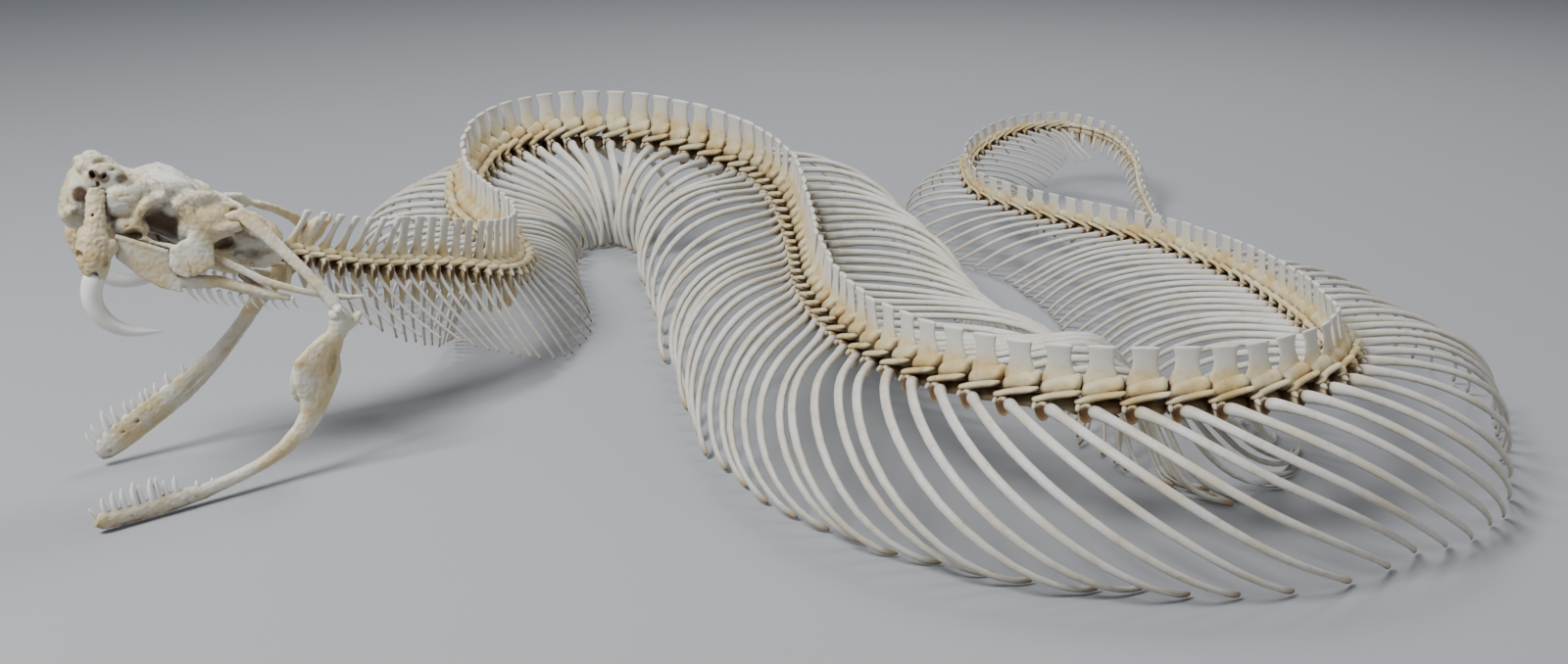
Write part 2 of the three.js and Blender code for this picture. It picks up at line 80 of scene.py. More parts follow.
def spine_value(n, column):
    """Place or lean of the backbone at a vertebra number, on a smooth curve."""
    i = 0
    while i < len(SPINE) - 2 and SPINE[i + 1][0] <= n:
        i += 1

    def slope(k):
        low, high = SPINE[max(k - 1, 0)], SPINE[min(k + 1, len(SPINE) - 1)]
        return (high[column] - low[column]) / (high[0] - low[0])

    width = SPINE[i + 1][0] - SPINE[i][0]
    u = min(max((n - SPINE[i][0]) / width, 0), 1)
    ends = (2 * u ** 3 - 3 * u ** 2 + 1) * SPINE[i][column] + (3 * u ** 2 - 2 * u ** 3) * SPINE[i + 1][column]
    value = ends + width * ((u ** 3 - 2 * u ** 2 + u) * slope(i) + (u ** 3 - u ** 2) * slope(i + 1))
    beyond = n - min(max(n, 0), SPINE[-1][0])
    return value + beyond * slope(0 if n < 0 else len(SPINE) - 1)


def spine_point(n):
    return Vector((spine_value(n, 1), spine_value(n, 2), spine_value(n, 3)))


def spine_frame(n):
    """Middle, left, tailward and up directions of the body at a vertebra number, in millimetres."""
    ahead = (spine_point(n - 0.5) - spine_point(n + 0.5)).normalized()
    upright = Vector((0, 0, 1)) - ahead * ahead.z
    upright.normalize()
    sideways = upright.cross(ahead)
    lean = math.radians(spine_value(n, 4))
    up = upright * math.cos(lean) + sideways * math.sin(lean)
    left = sideways * math.cos(lean) - upright * math.sin(lean)
    return spine_point(n), left, -ahead, up


def placed(x_axis, y_axis, z_axis, origin):
    """Matrix with these three axes and this origin."""
    matrix = Matrix((x_axis, y_axis, z_axis)).transposed().to_4x4()
    matrix.translation = origin
    return matrix


def to_room(point):
    """Millimetres of the tables to metres of the room."""
    return Vector((point.x - MIDDLE[0], point.y - MIDDLE[1], point.z)) * MM


def ring(centre, wide, high):
    """Matrix that lays a unit circle round a point, with these two half axes."""
    centre, wide, high = Vector(centre), Vector(wide), Vector(high)
    return placed(wide, high, wide.cross(high).normalized(), centre)


def bar(bm, rings, sides=8, tones=None):
    """Closed bar through rings: a circle is extruded from each ring to the next, and both ends are filled.

    `tones` says how pale (towards 1) or how stained (towards -1) the bone is at each ring.
    """
    along = bm.verts.layers.float.get("along") or bm.verts.layers.float.new("along")
    tone_and_shade = bm.verts.layers.float.get("tone_and_shade") or bm.verts.layers.float.new("tone_and_shade")
    made = bmesh.ops.create_circle(bm, cap_ends=True, radius=1, segments=sides)["verts"]
    edges = list(dict.fromkeys(edge for vert in made for edge in vert.link_edges))
    for i, matrix in enumerate(rings):
        last = i == len(rings) - 1
        if not last:
            grown = bmesh.ops.extrude_edge_only(bm, edges=edges)["geom"]
            new = {item for item in grown if isinstance(item, bmesh.types.BMVert)}
            new_edges = [item for item in grown if isinstance(item, bmesh.types.BMEdge)
                         and item.verts[0] in new and item.verts[1] in new]
        bmesh.ops.transform(bm, matrix=matrix, verts=list(made))
        for vert in made:
            vert[along] = i / (len(rings) - 1)
            vert[tone_and_shade] = tones[i] if tones else 0
        if not last:
            made, edges = new, new_edges
    bmesh.ops.contextual_create(bm, geom=edges)


def mesh_of(bm, name):
    bmesh.ops.recalc_face_normals(bm, faces=bm.faces)
    mesh = bpy.data.meshes.new(name)
    bm.to_mesh(mesh)
    bm.free()
    mesh.shade_smooth()
    return mesh


def add_copy(bm, mesh, move):
    """Adds a copy of a mesh, with each corner moved by a function of its place and its share along."""
    first = len(bm.verts)
    bm.from_mesh(mesh)
    bm.verts.ensure_lookup_table()
    along = bm.verts.layers.float.get("along")
    for vert in bm.verts[first:]:
        vert.co = move(vert.co, vert[along])


def piece(name, mesh, material, nodes=(), rounding=0):
    """Finished piece in the room, with its material, its rounding and the solids it stands for."""
    made = bpy.data.objects.new(name, mesh)
    bpy.context.scene.collection.objects.link(made)
    mesh.materials.append(material)
    if rounding:
        soft = made.modifiers.new("rounding", "SUBSURF")
        soft.levels = soft.render_levels = rounding
    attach(made, "root")
    if nodes:
        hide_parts(*nodes)
    return made


def bone_material(name, light, warm, stain_and_shade, recess_shade_amount=0.75, reach=0.0035, rough=0.55, grain=1.0):
    """Dry bone: pale and warm patches, fine pores, painted brown shade in recesses found by ambient
    occlusion, and a matt, faintly waxy skin.
    """
    material = bpy.data.materials.new(name)
    material.use_nodes = True
    nodes, links = material.node_tree.nodes, material.node_tree.links
    shader = nodes["Principled BSDF"]
    place = nodes.new("ShaderNodeTexCoord").outputs["Object"]

    def cloud(scale, detail, roughness=0.55):
        node = nodes.new("ShaderNodeTexNoise")
        node.inputs["Scale"].default_value = scale
        node.inputs["Detail"].default_value = detail
        node.inputs["Roughness"].default_value = roughness
        links.new(place, node.inputs["Vector"])
        return node.outputs["Fac"]

    def between(value, low, high):
        node = nodes.new("ShaderNodeMapRange")
        node.interpolation_type = "SMOOTHSTEP"
        node.inputs["From Min"].default_value = low
        node.inputs["From Max"].default_value = high
        links.new(value, node.inputs["Value"])
        return node.outputs["Result"]

    def mixed(amount, first, second, blend="MIX"):
        node = nodes.new("ShaderNodeMix")
        node.data_type = "RGBA"
        node.blend_type = blend
        links.new(amount, node.inputs["Factor"])
        for colour, socket in ((first, node.inputs["A"]), (second, node.inputs["B"])):
            if isinstance(colour, tuple):
                socket.default_value = (*colour, 1)
            else:
                links.new(colour, socket)
        return node.outputs["Result"]

    def times(first, second):
        node = nodes.new("ShaderNodeMath")
        node.operation = "MULTIPLY"
        links.new(first, node.inputs[0])
        if isinstance(second, float):
            node.inputs[1].default_value = second
        else:
            links.new(second, node.inputs[1])
        return node.outputs[0]

    patches = between(cloud(95, 4), 0.40, 0.64)
    speckle = between(cloud(420, 5, 0.6), 0.52, 0.72)
    colour = mixed(patches, light, warm)
    colour = mixed(times(speckle, 0.45), colour, tuple(0.5 * a + 0.5 * b for a, b in zip(warm, stain_and_shade)))
    # The tone attribute pales or darkens the bone: on vertebrae it marks whitish blades and dark joints, on
    # the skull its dark patches are painted shade in the hollows.
    tone_and_shade = nodes.new("ShaderNodeAttribute")
    tone_and_shade.attribute_name = "tone_and_shade"
    colour = mixed(times(between(tone_and_shade.outputs["Fac"], 0, 1), 0.85), colour, (0.62, 0.61, 0.585))
    colour = mixed(times(between(tone_and_shade.outputs["Fac"], 0, -1), 1.0), colour, stain_and_shade)
    # Painted shade: ambient occlusion over a few millimetres darkens recesses towards the brown stain colour,
    # in uneven patches.
    shade = nodes.new("ShaderNodeAmbientOcclusion")
    shade.samples = 6
    shade.inputs["Distance"].default_value = reach
    open_air = between(shade.outputs["AO"], 0.30, 0.92)
    painted_recess_shade = nodes.new("ShaderNodeMath")
    painted_recess_shade.operation = "SUBTRACT"
    painted_recess_shade.inputs[0].default_value = 1
    links.new(open_air, painted_recess_shade.inputs[1])
    uneven = between(cloud(210, 4), 0.25, 0.62)
    colour = mixed(times(times(painted_recess_shade.outputs[0], uneven), recess_shade_amount), colour, stain_and_shade)
    links.new(colour, shader.inputs["Base Color"])
    roughness = nodes.new("ShaderNodeMapRange")
    roughness.inputs["To Min"].default_value = rough - 0.1
    roughness.inputs["To Max"].default_value = rough + 0.15
    links.new(cloud(260, 3), roughness.inputs["Value"])
    links.new(roughness.outputs["Result"], shader.inputs["Roughness"])
    shader.inputs["IOR"].default_value = 1.5
    shader.inputs["Subsurface Weight"].default_value = 0.08
    shader.inputs["Subsurface Radius"].default_value = (0.9, 0.6, 0.35)
    shader.inputs["Subsurface Scale"].default_value = 0.0012
    bump = nodes.new("ShaderNodeBump")
    bump.inputs["Strength"].default_value = 0.35 * grain
    bump.inputs["Distance"].default_value = 0.0004
    links.new(cloud(900, 5, 0.65), bump.inputs["Height"])
    links.new(bump.outputs["Normal"], shader.inputs["Normal"])
    return material


def vertebra_shape(blade, lean, keel, squat=1, broad=1):
    """One vertebra: sideways and upwards in heights, tailwards in vertebra lengths.

    `blade` holds (height, half length, half thickness) from the arch to the rim of the upright blade.
    `keel` is the length of the spike below, `squat` lowers the arch and `broad` widens the spike.
    """
    bm = bmesh.new()
    bar(bm, [ring((0, lean * (z - 0.4), z), (0, 1.07 * half, 0), (thick, 0, 0)) for z, half, thick in blade],
        8, [-0.05, 0, 0.05, 0.3, 0.65, 0.85, 1, 1, 0.8])
    # wall of the nerve canal: place tailwards, half width, height, half height
    canal = [(-0.5, 0.13, 0.22, 0.1), (-0.38, 0.22, 0.24, 0.17), (-0.1, 0.17, 0.27, 0.22),
             (0.2, 0.18, 0.31, 0.22), (0.44, 0.23, 0.35, 0.17), (0.56, 0.15, 0.38, 0.09)]
    bar(bm, [ring((0, y, squat * z), (wide, 0, 0), (0, 0, squat * tall)) for y, wide, z, tall in canal], 10,
        [-0.6, -0.1, -0.2, -0.1, 0, 0.1])
    body = [(-0.46, 0.1), (-0.4, 0.17), (-0.1, 0.13), (0.3, 0.13), (0.44, 0.15), (0.56, 0.07)]
    bar(bm, [ring((0, y, -0.01), (size, 0, 0), (0, 0, size)) for y, size in body], 8,
        [-1, -0.8, -0.6, -0.5, -0.7, -1])
    for side in (1, -1):
        # ridge between the two joint plates: sideways, tailwards, height, half length and half thickness
        ridge = [(0.24, -0.62, 0.13, 0.05, 0.04), (0.32, -0.5, 0.15, 0.1, 0.06),
                 (0.25, -0.26, 0.18, 0.1, 0.07), (0.18, 0.02, 0.2, 0.09, 0.07),
                 (0.22, 0.3, 0.26, 0.1, 0.07), (0.3, 0.5, 0.3, 0.1, 0.05),
                 (0.22, 0.64, 0.31, 0.05, 0.035)]
        bar(bm, [ring((side * x, y, squat * z), (wide, 0, 0), (0, 0, thick))
                 for x, y, z, wide, thick in ridge], 6, [0.1, 0.2, -0.1, -0.2, -0.1, 0.1, 0.1])
        # knob that carries the rib, and the small spur over it
        knob = [(0.08, 0.1, 0.03), (0.2, 0.12, 0.01), (0.29, 0.18, -0.02), (0.355, 0.19, -0.04),
                (0.37, 0.15, -0.045), (0.345, 0.06, -0.045)]
        bar(bm, [ring((side * x, -0.32, z), (0, 1.15 * size, 0), (0, 0, size)) for x, size, z in knob], 8,
            [-0.6, -0.4, 0, 0.3, -0.7, -1])
        spur = [(0.24, -0.46, 0.1, 0.08), (0.36, -0.5, 0.06, 0.07), (0.42, -0.52, 0.03, 0.03)]
        bar(bm, [ring((side * x, y, z), (0, 1.3 * size, 0), (0, 0, size)) for x, y, z, size in spur], 6,
            [0.2, 0.5, 0.6])
    spike = [(0.05, -0.06, 0.2), (0.22, -0.1 - 0.35 * keel, 0.16), (0.36, -0.12 - 0.75 * keel, 0.11),
             (0.42, -0.12 - keel, 0.07)]
    bar(bm, [ring((0, y, z), (0, broad * half, 0), (0.045, 0, 0)) for y, z, half in spike], 6,
        [-0.1, 0.1, 0.3, 0.5])
    return mesh_of(bm, "one_vertebra")


ROD_END, NECK_END, TRUNK_END = 8, 24, 72    # first vertebra that no longer has each shape
TALLEST, SHORTEST = 1, 0.985                # chance spread of a blade's height
WOBBLE = 1.5                                # chance turn of a vertebra, in degrees
# height, half length and half thickness of the upright blade
TRUNK_BLADE = [(0.3, 0.5, 0.17), (0.4, 0.52, 0.13), (0.5, 0.5, 0.085), (0.6, 0.42, 0.055),
               (0.72, 0.345, 0.04), (0.84, 0.345, 0.036), (0.94, 0.41, 0.042), (0.975, 0.45, 0.052),
               (1.0, 0.44, 0.045)]
REAR_BLADE = [(0.28, 0.5, 0.17), (0.36, 0.51, 0.13), (0.45, 0.47, 0.085), (0.54, 0.38, 0.055),
              (0.66, 0.31, 0.042), (0.8, 0.3, 0.038), (0.92, 0.34, 0.046), (0.97, 0.385, 0.055),
              (1.0, 0.38, 0.045)]
NECK_BLADE = [(0.14, 0.48, 0.16), (0.24, 0.48, 0.12), (0.32, 0.42, 0.085), (0.42, 0.34, 0.055),
              (0.58, 0.28, 0.04), (0.8, 0.28, 0.036), (0.93, 0.34, 0.044), (0.975, 0.36, 0.052),
              (1.0, 0.33, 0.04)]
ROD_BLADE = [(0.12, 0.44, 0.15), (0.22, 0.42, 0.11), (0.3, 0.33, 0.07), (0.4, 0.24, 0.052),
             (0.56, 0.185, 0.045), (0.8, 0.165, 0.042), (0.93, 0.24, 0.06), (0.975, 0.25, 0.065),
             (1.0, 0.15, 0.04)]
rod_vertebra = vertebra_shape(ROD_BLADE, 0.75, 0.5, 0.6, 1.5)
neck_vertebra = vertebra_shape(NECK_BLADE, 0.12, 0.55, 0.6, 1.7)
trunk_vertebra = vertebra_shape(TRUNK_BLADE, 0, 0.08)
rear_vertebra = vertebra_shape(REAR_BLADE, 0, 0.08)
spine_bone = bone_material("ivory_vertebra", (0.60, 0.53, 0.33), (0.54, 0.40, 0.17), (0.11, 0.05, 0.016),
                           1.0, 0.0055)
chance = random.Random(7)
for name, first, last in LENGTHS:
    bm = bmesh.new()
    for n in range(first, last + 1):
        middle, left, tailward, up = spine_frame(n)
        height = value_at(HEIGHT, n) * chance.uniform(SHORTEST, TALLEST)
        pitch = value_at(PITCH, n)
        if n < ROD_END:
            shape = rod_vertebra
        elif n < NECK_END:
            shape = neck_vertebra
        else:
            shape = trunk_vertebra if n < TRUNK_END else rear_vertebra
        place = placed(left * height, tailward * pitch, up * height, middle)
        wobble = Matrix.Rotation(math.radians(chance.uniform(-WOBBLE, WOBBLE)), 4, "Y")
        add_copy(bm, shape, lambda co, along: to_room(place @ (wobble @ co)))
    piece(f"{name}_vertebrae", mesh_of(bm, f"{name}_vertebrae"), spine_bone, [f"{name}_spine"], 1)

# ---- Ribs ----
# Each vertebra carries a pair of long curved ribs with a knobbed head and an end of dried cartilage.
# They are greyish white bone, a little flat, glued at the head and resting on the floor with the tip.
RIBS = [
    (2, 22, 1, 54, 51, 33, 49, 50, 52, 35, 49), (8, 30, 1.2, 63, 62, 27, 44, 53, 64, 30, 43),
    (14, 31, 1.4, 61, 63, 15, 36, 50, 73, 20, 36), (20, 33, 1.4, 43, 63, 3, 32, 39, 84, 10, 31),
    (26, 40, 1.5, 8, 92, 6, 31, -1, 100, 7, 24), (32, 52, 1.7, -4, 103, -2, 29, -11, 117, 0, 18),
    (38, 55, 1.8, 21, 116, 3, 34, 4, 123, 11, 19), (44, 59, 1.9, 23, 120, -6, 42, 19, 121, 20, 19),
    (50, 66, 2, -14, 117, -4, 34, 4, 117, 34, 22), (56, 81, 2.1, -12, 118, 44, 29, -25, 114, 48, 31),
    (62, 104, 2.2, -17, 133, 73, 36, -34, 135, 54, 38), (68, 107, 2.3, -18, 106, 80, 34, -16, 154, 30, 36),
    (74, 113, 2.7, -8, 162, 71, 38, -10, 177, 56, 36), (80, 104, 1.4, -18, 170, 53, 44, -38, 177, 61, 32),
    (86, 89, 0.7, -10, 126, 48, 59, -28, 159, 55, 67), (92, 75, 0.8, 5, 95, 12, 66, -15, 105, 46, 68),
    (98, 71, 1.4, -5, 85, 5, 40, -13, 86, 20, 52), (106, 65, 1.5, -10, 92, 10, 49, -8, 91, 16, 53),
    (114, 48, 1.5, -9, 97, 26, 57, 2, 94, 24, 64), (122, 49, 1.4, 5, 100, 34, 54, -7, 92, 37, 57),
    (130, 36, 1.2, 20, 79, 31, 50, 10, 63, 27, 48), (138, 19, 0.9, 27, 67, 38, 70, 19, 57, 29, 52),
]
RIB_RADIUS = [(0, 0.6), (12, 0.75), (24, 1.05), (36, 1.45), (44, 1.75), (54, 1.7), (66, 1.45), (90, 1.35),
              (112, 1.15), (130, 0.78), (138, 0.62)]
FIRST_RIB = 2
RIB_HEAD = 0.27              # sideways place of a rib's head, as a share of the vertebra's height
RIB_PLACE = 0.2              # how far a rib's head sits ahead of the vertebra's middle, in vertebrae
RIB_SPREAD = (0.985, 1.01)   # chance spread of a rib's length
RIB_WANDER = 1.2             # chance change of a rib's angles, in degrees
SWEEP_LIMITS = (0.6, 1.8)    # how far a rib's sweep may be stretched to keep its own length
SWEPT, LEAST_SWEPT = 0.15, 0.2   # shares of its length from which, and to which, a rib's sweep is stretched
TIP_REST = 0.45              # height of a settled tip's middle line, in rib radii
SETTLED = (15, 20, 124, 129)     # ribs rest on the floor between these vertebrae, fading in and out
CHEST = 12                   # depth below the spine of the line that the ribs curl round, in millimetres
# share of the length, half width along the body and half thickness, both in radii
RIB_RINGS = [(0, 1.0, 1.0), (0.018, 1.5, 1.5), (0.05, 1.3, 1.3), (0.1, 1.08, 0.95), (0.2, 1.1, 0.78),
             (0.32, 1.06, 0.74), (0.44, 1, 0.72), (0.56, 0.96, 0.7), (0.68, 0.9, 0.68), (0.8, 0.8, 0.62),
             (0.89, 0.68, 0.54), (0.955, 0.62, 0.46), (0.975, 0.85, 0.42), (1, 0.5, 0.3)]


def body_point(left_by, up_by, n):
    middle, left, tailward, up = spine_frame(n)
    return middle + left * left_by + up * up_by


def rib_line(n, side, count=24):
    """Middle line of a rib, in millimetres. It sweeps back along the bent body and keeps its own length."""
    length = value_at(RIBS, n, 1) * chance.uniform(*RIB_SPREAD)
    curl = value_at(RIBS, n, 2)
    first = 3 if side > 0 else 7

    def angle(k):
        return math.radians(value_at(RIBS, n, first + k) + chance.uniform(-RIB_WANDER, RIB_WANDER))

    droop0, droop1, sweep0, sweep1 = (angle(k) for k in range(4))
    pitch = value_at(PITCH, n)
    out, down, back = RIB_HEAD * value_at(HEIGHT, n), 0, 0
    track = [(out, down, back)]
    for i in range(count):
        q = (i + 0.5) / count
        droop = droop0 + (droop1 - droop0) * q ** curl
        sweep = sweep0 + (sweep1 - sweep0) * q
        out += math.cos(sweep) * math.cos(droop) * length / count
        down += math.cos(sweep) * math.sin(droop) * length / count
        back += math.sin(sweep) * length / count
        track.append((out, down, back))

    def bent(stretch):
        return [body_point(side * out, -down, n - RIB_PLACE + stretch * back / pitch)
                for out, down, back in track]

    line = bent(1)
    lengthwise = whole = 0
    for i in range(count):
        part = line[i + 1] - line[i]
        tailward = spine_frame(n - RIB_PLACE + (track[i][2] + track[i + 1][2]) / 2 / pitch)[2]
        lengthwise += abs(part.dot(tailward))
        whole += part.length
    if lengthwise > SWEPT * length:
        across = max(whole ** 2 - lengthwise ** 2, 0)
        wanted = math.sqrt(max(length ** 2 - across, (LEAST_SWEPT * length) ** 2))
        line = bent(min(max(wanted / lengthwise, SWEEP_LIMITS[0]), SWEEP_LIMITS[1]))
    rest = TIP_REST * value_at(RIB_RADIUS, n)
    settled = (min(max((n - SETTLED[0]) / (SETTLED[1] - SETTLED[0]), 0), 1)
               * min(max((SETTLED[3] - n) / (SETTLED[3] - SETTLED[2]), 0), 1))
    drop = settled * (rest - line[count].z)
    for i, point in enumerate(line):
        point.z = max(point.z + drop * (i / count) ** 2, rest)
    return line


def line_point(line, share):
    """Point and direction on a line of equal steps."""
    spot = share * (len(line) - 1)
    i = min(int(spot), len(line) - 2)
    before, after = line[max(i - 1, 0)], line[min(i + 2, len(line) - 1)]
    return line[i].lerp(line[i + 1], spot - i), (after - before).normalized()


def rib_rings(n, side):
    line = rib_line(n, side)
    radius = value_at(RIB_RADIUS, n)
    middle, left, tailward, up = spine_frame(n)
    rings = []
    for share, wide, thin in RIB_RINGS:
        centre, along = line_point(line, share)
        outward = centre - (middle - up * CHEST)
        outward = (outward - along * outward.dot(along)).normalized()
        flat = along.cross(outward)
        half_wide, half_thin = wide * radius, thin * radius
        reach = abs(flat.z) * half_wide + abs(outward.z) * half_thin
        centre = Vector((centre.x, centre.y, max(centre.z, reach)))
        rings.append(placed(flat * half_wide, outward * half_thin, along, centre))
    return rings


bm = bmesh.new()
bar(bm, [Matrix.Translation((0, 0, i)) for i in range(len(RIB_RINGS))], 6)
straight_rib = mesh_of(bm, "straight_rib")
rib_bone = bone_material("grey_white_rib", (0.55, 0.545, 0.515), (0.52, 0.48, 0.39), (0.2, 0.12, 0.055),
                         0.9, 0.003, 0.45)
nodes, links = rib_bone.node_tree.nodes, rib_bone.node_tree.links
share_along = nodes.new("ShaderNodeAttribute")
share_along.attribute_name = "along"
ends = nodes.new("ShaderNodeValToRGB")
ends.color_ramp.elements[0].position = 0.0
ends.color_ramp.elements[0].color = (0.62, 0.43, 0.2, 1)
ends.color_ramp.elements[1].position = 1.0
ends.color_ramp.elements[1].color = (0.4, 0.24, 0.1, 1)
for position, colour in ((0.12, (1, 1, 1)), (0.86, (1, 0.98, 0.93)), (0.95, (0.66, 0.48, 0.27))):
    stop = ends.color_ramp.elements.new(position)
    stop.color = (*colour, 1)
links.new(share_along.outputs["Fac"], ends.inputs["Fac"])
tint = nodes.new("ShaderNodeMix")
tint.data_type = "RGBA"
tint.blend_type = "MULTIPLY"
tint.inputs["Factor"].default_value = 0.8
shader = nodes["Principled BSDF"]
links.new(shader.inputs["Base Color"].links[0].from_socket, tint.inputs["A"])
links.new(ends.outputs["Color"], tint.inputs["B"])
links.new(tint.outputs["Result"], shader.inputs["Base Color"])
for name, first, last in LENGTHS:
    for word, side in (("left", 1), ("right", -1)):
        bm = bmesh.new()
        for n in range(max(first, FIRST_RIB), last + 1):
            rings = rib_rings(n, side)
            add_copy(bm, straight_rib, lambda co, along: to_room(
                rings[round(co.z)] @ Vector((co.x, co.y, 0))))
        piece(f"{name}_ribs_{word}_bone", mesh_of(bm, f"{name}_ribs_{word}_bone"), rib_bone,
              [f"{name}_ribs_{word}"], 1)

# ---- Tail ----
# Behind the last ribs the vertebrae shrink to the tail tip. Each has short side processes that bend down,
# and a small paired keel below. They are the same ivory bone, glued in one line.
FIRST_TAIL, TAIL_TIP = 139, 160
TAIL_CLEARANCE = 0.1         # lowest height of a tail bone, in millimetres
bm = bmesh.new()
bar(bm, [ring((0, y, 0), (size, 0, 0), (0, 0, size)) for y, size in
         [(-0.5, 0.18), (-0.4, 0.29), (0, 0.24), (0.35, 0.27), (0.5, 0.18)]], 6, [0, 0.2, 0.3, 0.2, 0])
bar(bm, [ring((0, y, 0.3), (wide, 0, 0), (0, 0, tall)) for y, wide, tall in
         [(-0.55, 0.18, 0.08), (-0.35, 0.36, 0.17), (0, 0.25, 0.22), (0.35, 0.34, 0.17),
          (0.56, 0.18, 0.08)]], 6, [0.2, 0.5, 0.4, 0.5, 0.3])
bar(bm, [ring((0, 0.12 * z, z), (0, half, 0), (0.08, 0, 0)) for z, half in
         [(0.3, 0.42), (0.55, 0.32), (0.85, 0.32), (0.98, 0.36), (1, 0.32)]], 6, [0.3, 0.5, 0.8, 1, 1])
for side in (1, -1):
    bar(bm, [ring((side * x, y, z), (0, half, 0), (0.08, 0, 0.08)) for x, y, z, half in
             [(0.12, -0.15, 0, 0.24), (0.44, -0.1, -0.12, 0.2), (0.72, 0.08, -0.5, 0.16),
              (0.76, 0.2, -0.85, 0.08)]], 5, [0, 0.3, 0.6, 0.8])
    bar(bm, [ring((side * x, y, z), (0, half, 0), (0.07, 0, 0)) for x, y, z, half in
             [(0.1, 0.2, -0.1, 0.18), (0.15, 0.3, -0.42, 0.15), (0.13, 0.4, -0.75, 0.07)]], 5, [0, 0.2, 0.5])
tail_vertebra = mesh_of(bm, "one_tail_vertebra")
bm = bmesh.new()
for n in range(FIRST_TAIL, TAIL_TIP + 1):
    middle, left, tailward, up = spine_frame(n)
    height, pitch = value_at(HEIGHT, n), value_at(PITCH, n)
    place = placed(left * height, tailward * pitch, up * height, middle)

    def on_floor(co, along):
        spot = place @ co
        return to_room(Vector((spot.x, spot.y, max(spot.z, TAIL_CLEARANCE))))

    add_copy(bm, tail_vertebra, on_floor)
piece("tail_vertebrae", mesh_of(bm, "tail_vertebrae"), spine_bone, ["tail"], 1)

# ---- Skull ----
# The braincase, forehead and snout are one box of thin bone with a round eye socket on each side and open
# nostrils. It is cream bone with ochre patches, and its seams show as thin brown lines.
HEAD_PLACE = (-145, -117, 54)
HEAD_TURN, HEAD_TILT = 208, 16   # degrees about the upright axis, and the snout's rise
SKULL_GRAIN, SLIM_GRAIN = 0.33, 0.27     # fineness of the skull's skin and of the slim bones', in millimetres
HEAD = (Matrix.Scale(MM, 4)
        @ Matrix.Translation((HEAD_PLACE[0] - MIDDLE[0], HEAD_PLACE[1] - MIDDLE[1], HEAD_PLACE[2]))
        @ Matrix.Rotation(math.radians(HEAD_TURN), 4, "Z")
        @ Matrix.Rotation(math.radians(-HEAD_TILT), 4, "Y"))


def lump(bm, centre, size, turn=(0, 0, 0)):
    """Rounded lump with three half sizes, turned about X, Y and Z in degrees."""
    spin = (Matrix.Rotation(math.radians(turn[2]), 4, "Z") @ Matrix.Rotation(math.radians(turn[1]), 4, "Y")
            @ Matrix.Rotation(math.radians(turn[0]), 4, "X"))
    matrix = Matrix.Translation(centre) @ spin @ Matrix.Diagonal((*size, 1))
    bmesh.ops.create_icosphere(bm, subdivisions=3, radius=1, matrix=matrix)


def strut(bm, stations, sides=10, aside=None):
    """Bar through stations of (place, half width along X or `aside`, half width across)."""
    places = [Vector(station[0]) for station in stations]
    rings = []
    for i, (place, fore, across) in enumerate(stations):
        along = (places[min(i + 1, len(places) - 1)] - places[max(i - 1, 0)]).normalized()
        wide = Vector((1, 0, 0)) - along * along.x
        if wide.length < 0.45:
            wide = Vector((0, 0, 1)) - along * along.z
        if aside is not None:
            wide = aside - along * aside.dot(along)
        wide.normalize()
        rings.append(placed(wide * fore, along.cross(wide) * across, along, places[i]))
    bar(bm, rings, sides)


def fused(bm, voxel, rounds, cutter=None, rough=0.0):
    """Melts overlapping shapes into one bone, cuts hollows into it, and smooths and roughens its skin."""
    mesh = mesh_of(bm, "bone")
    holder = bpy.data.objects.new("bone_being_made", mesh)
    bpy.context.scene.collection.objects.link(holder)
    melt = holder.modifiers.new("melt", "REMESH")
    melt.mode = "VOXEL"
    melt.voxel_size = voxel
    if cutter is not None:
        tool = bpy.data.objects.new("hollows", mesh_of(cutter, "hollows"))
        bpy.context.scene.collection.objects.link(tool)
        cut = holder.modifiers.new("cut", "BOOLEAN")
        cut.operation = "DIFFERENCE"
        cut.solver = "FAST"
        cut.object = tool
        tidy = holder.modifiers.new("tidy", "REMESH")
        tidy.mode = "VOXEL"
        tidy.voxel_size = voxel
    soften = holder.modifiers.new("soften", "SMOOTH")
    soften.factor = 0.5
    soften.iterations = rounds
    made = bpy.data.meshes.new_from_object(holder.evaluated_get(bpy.context.evaluated_depsgraph_get()))
    bpy.data.objects.remove(holder)
    if cutter is not None:
        bpy.data.objects.remove(tool)
    if rough:
        outwards = [vert.normal.copy() for vert in made.vertices]
        for vert, outward in zip(made.vertices, outwards):
            swell = noise.noise(vert.co * 0.3) * 0.5 + noise.noise(vert.co * 1.1) * 0.5
            vert.co += outward * swell * rough
    made.shade_smooth()
    return made


def hollow_shade_and_pale_patches(mesh, patches):
    """Marks round patches of a bone's skin on both sides: the dark ones are painted shade in its hollows, the
    pale ones paler bone. Each patch: centre, half sizes and darker (-1) to paler (1).
    """
    tone_and_shade = mesh.attributes.new("tone_and_shade", "FLOAT", "POINT")
    for vert, mark in zip(mesh.vertices, tone_and_shade.data):
        for centre, size, amount in patches:
            gap = math.hypot((vert.co.x - centre[0]) / size[0], (abs(vert.co.y) - centre[1]) / size[1],
                             (vert.co.z - centre[2]) / size[2])
            if gap < 1:
                mark.value = mark.value + amount * min(1, 2.5 * (1 - gap))


bm = bmesh.new()
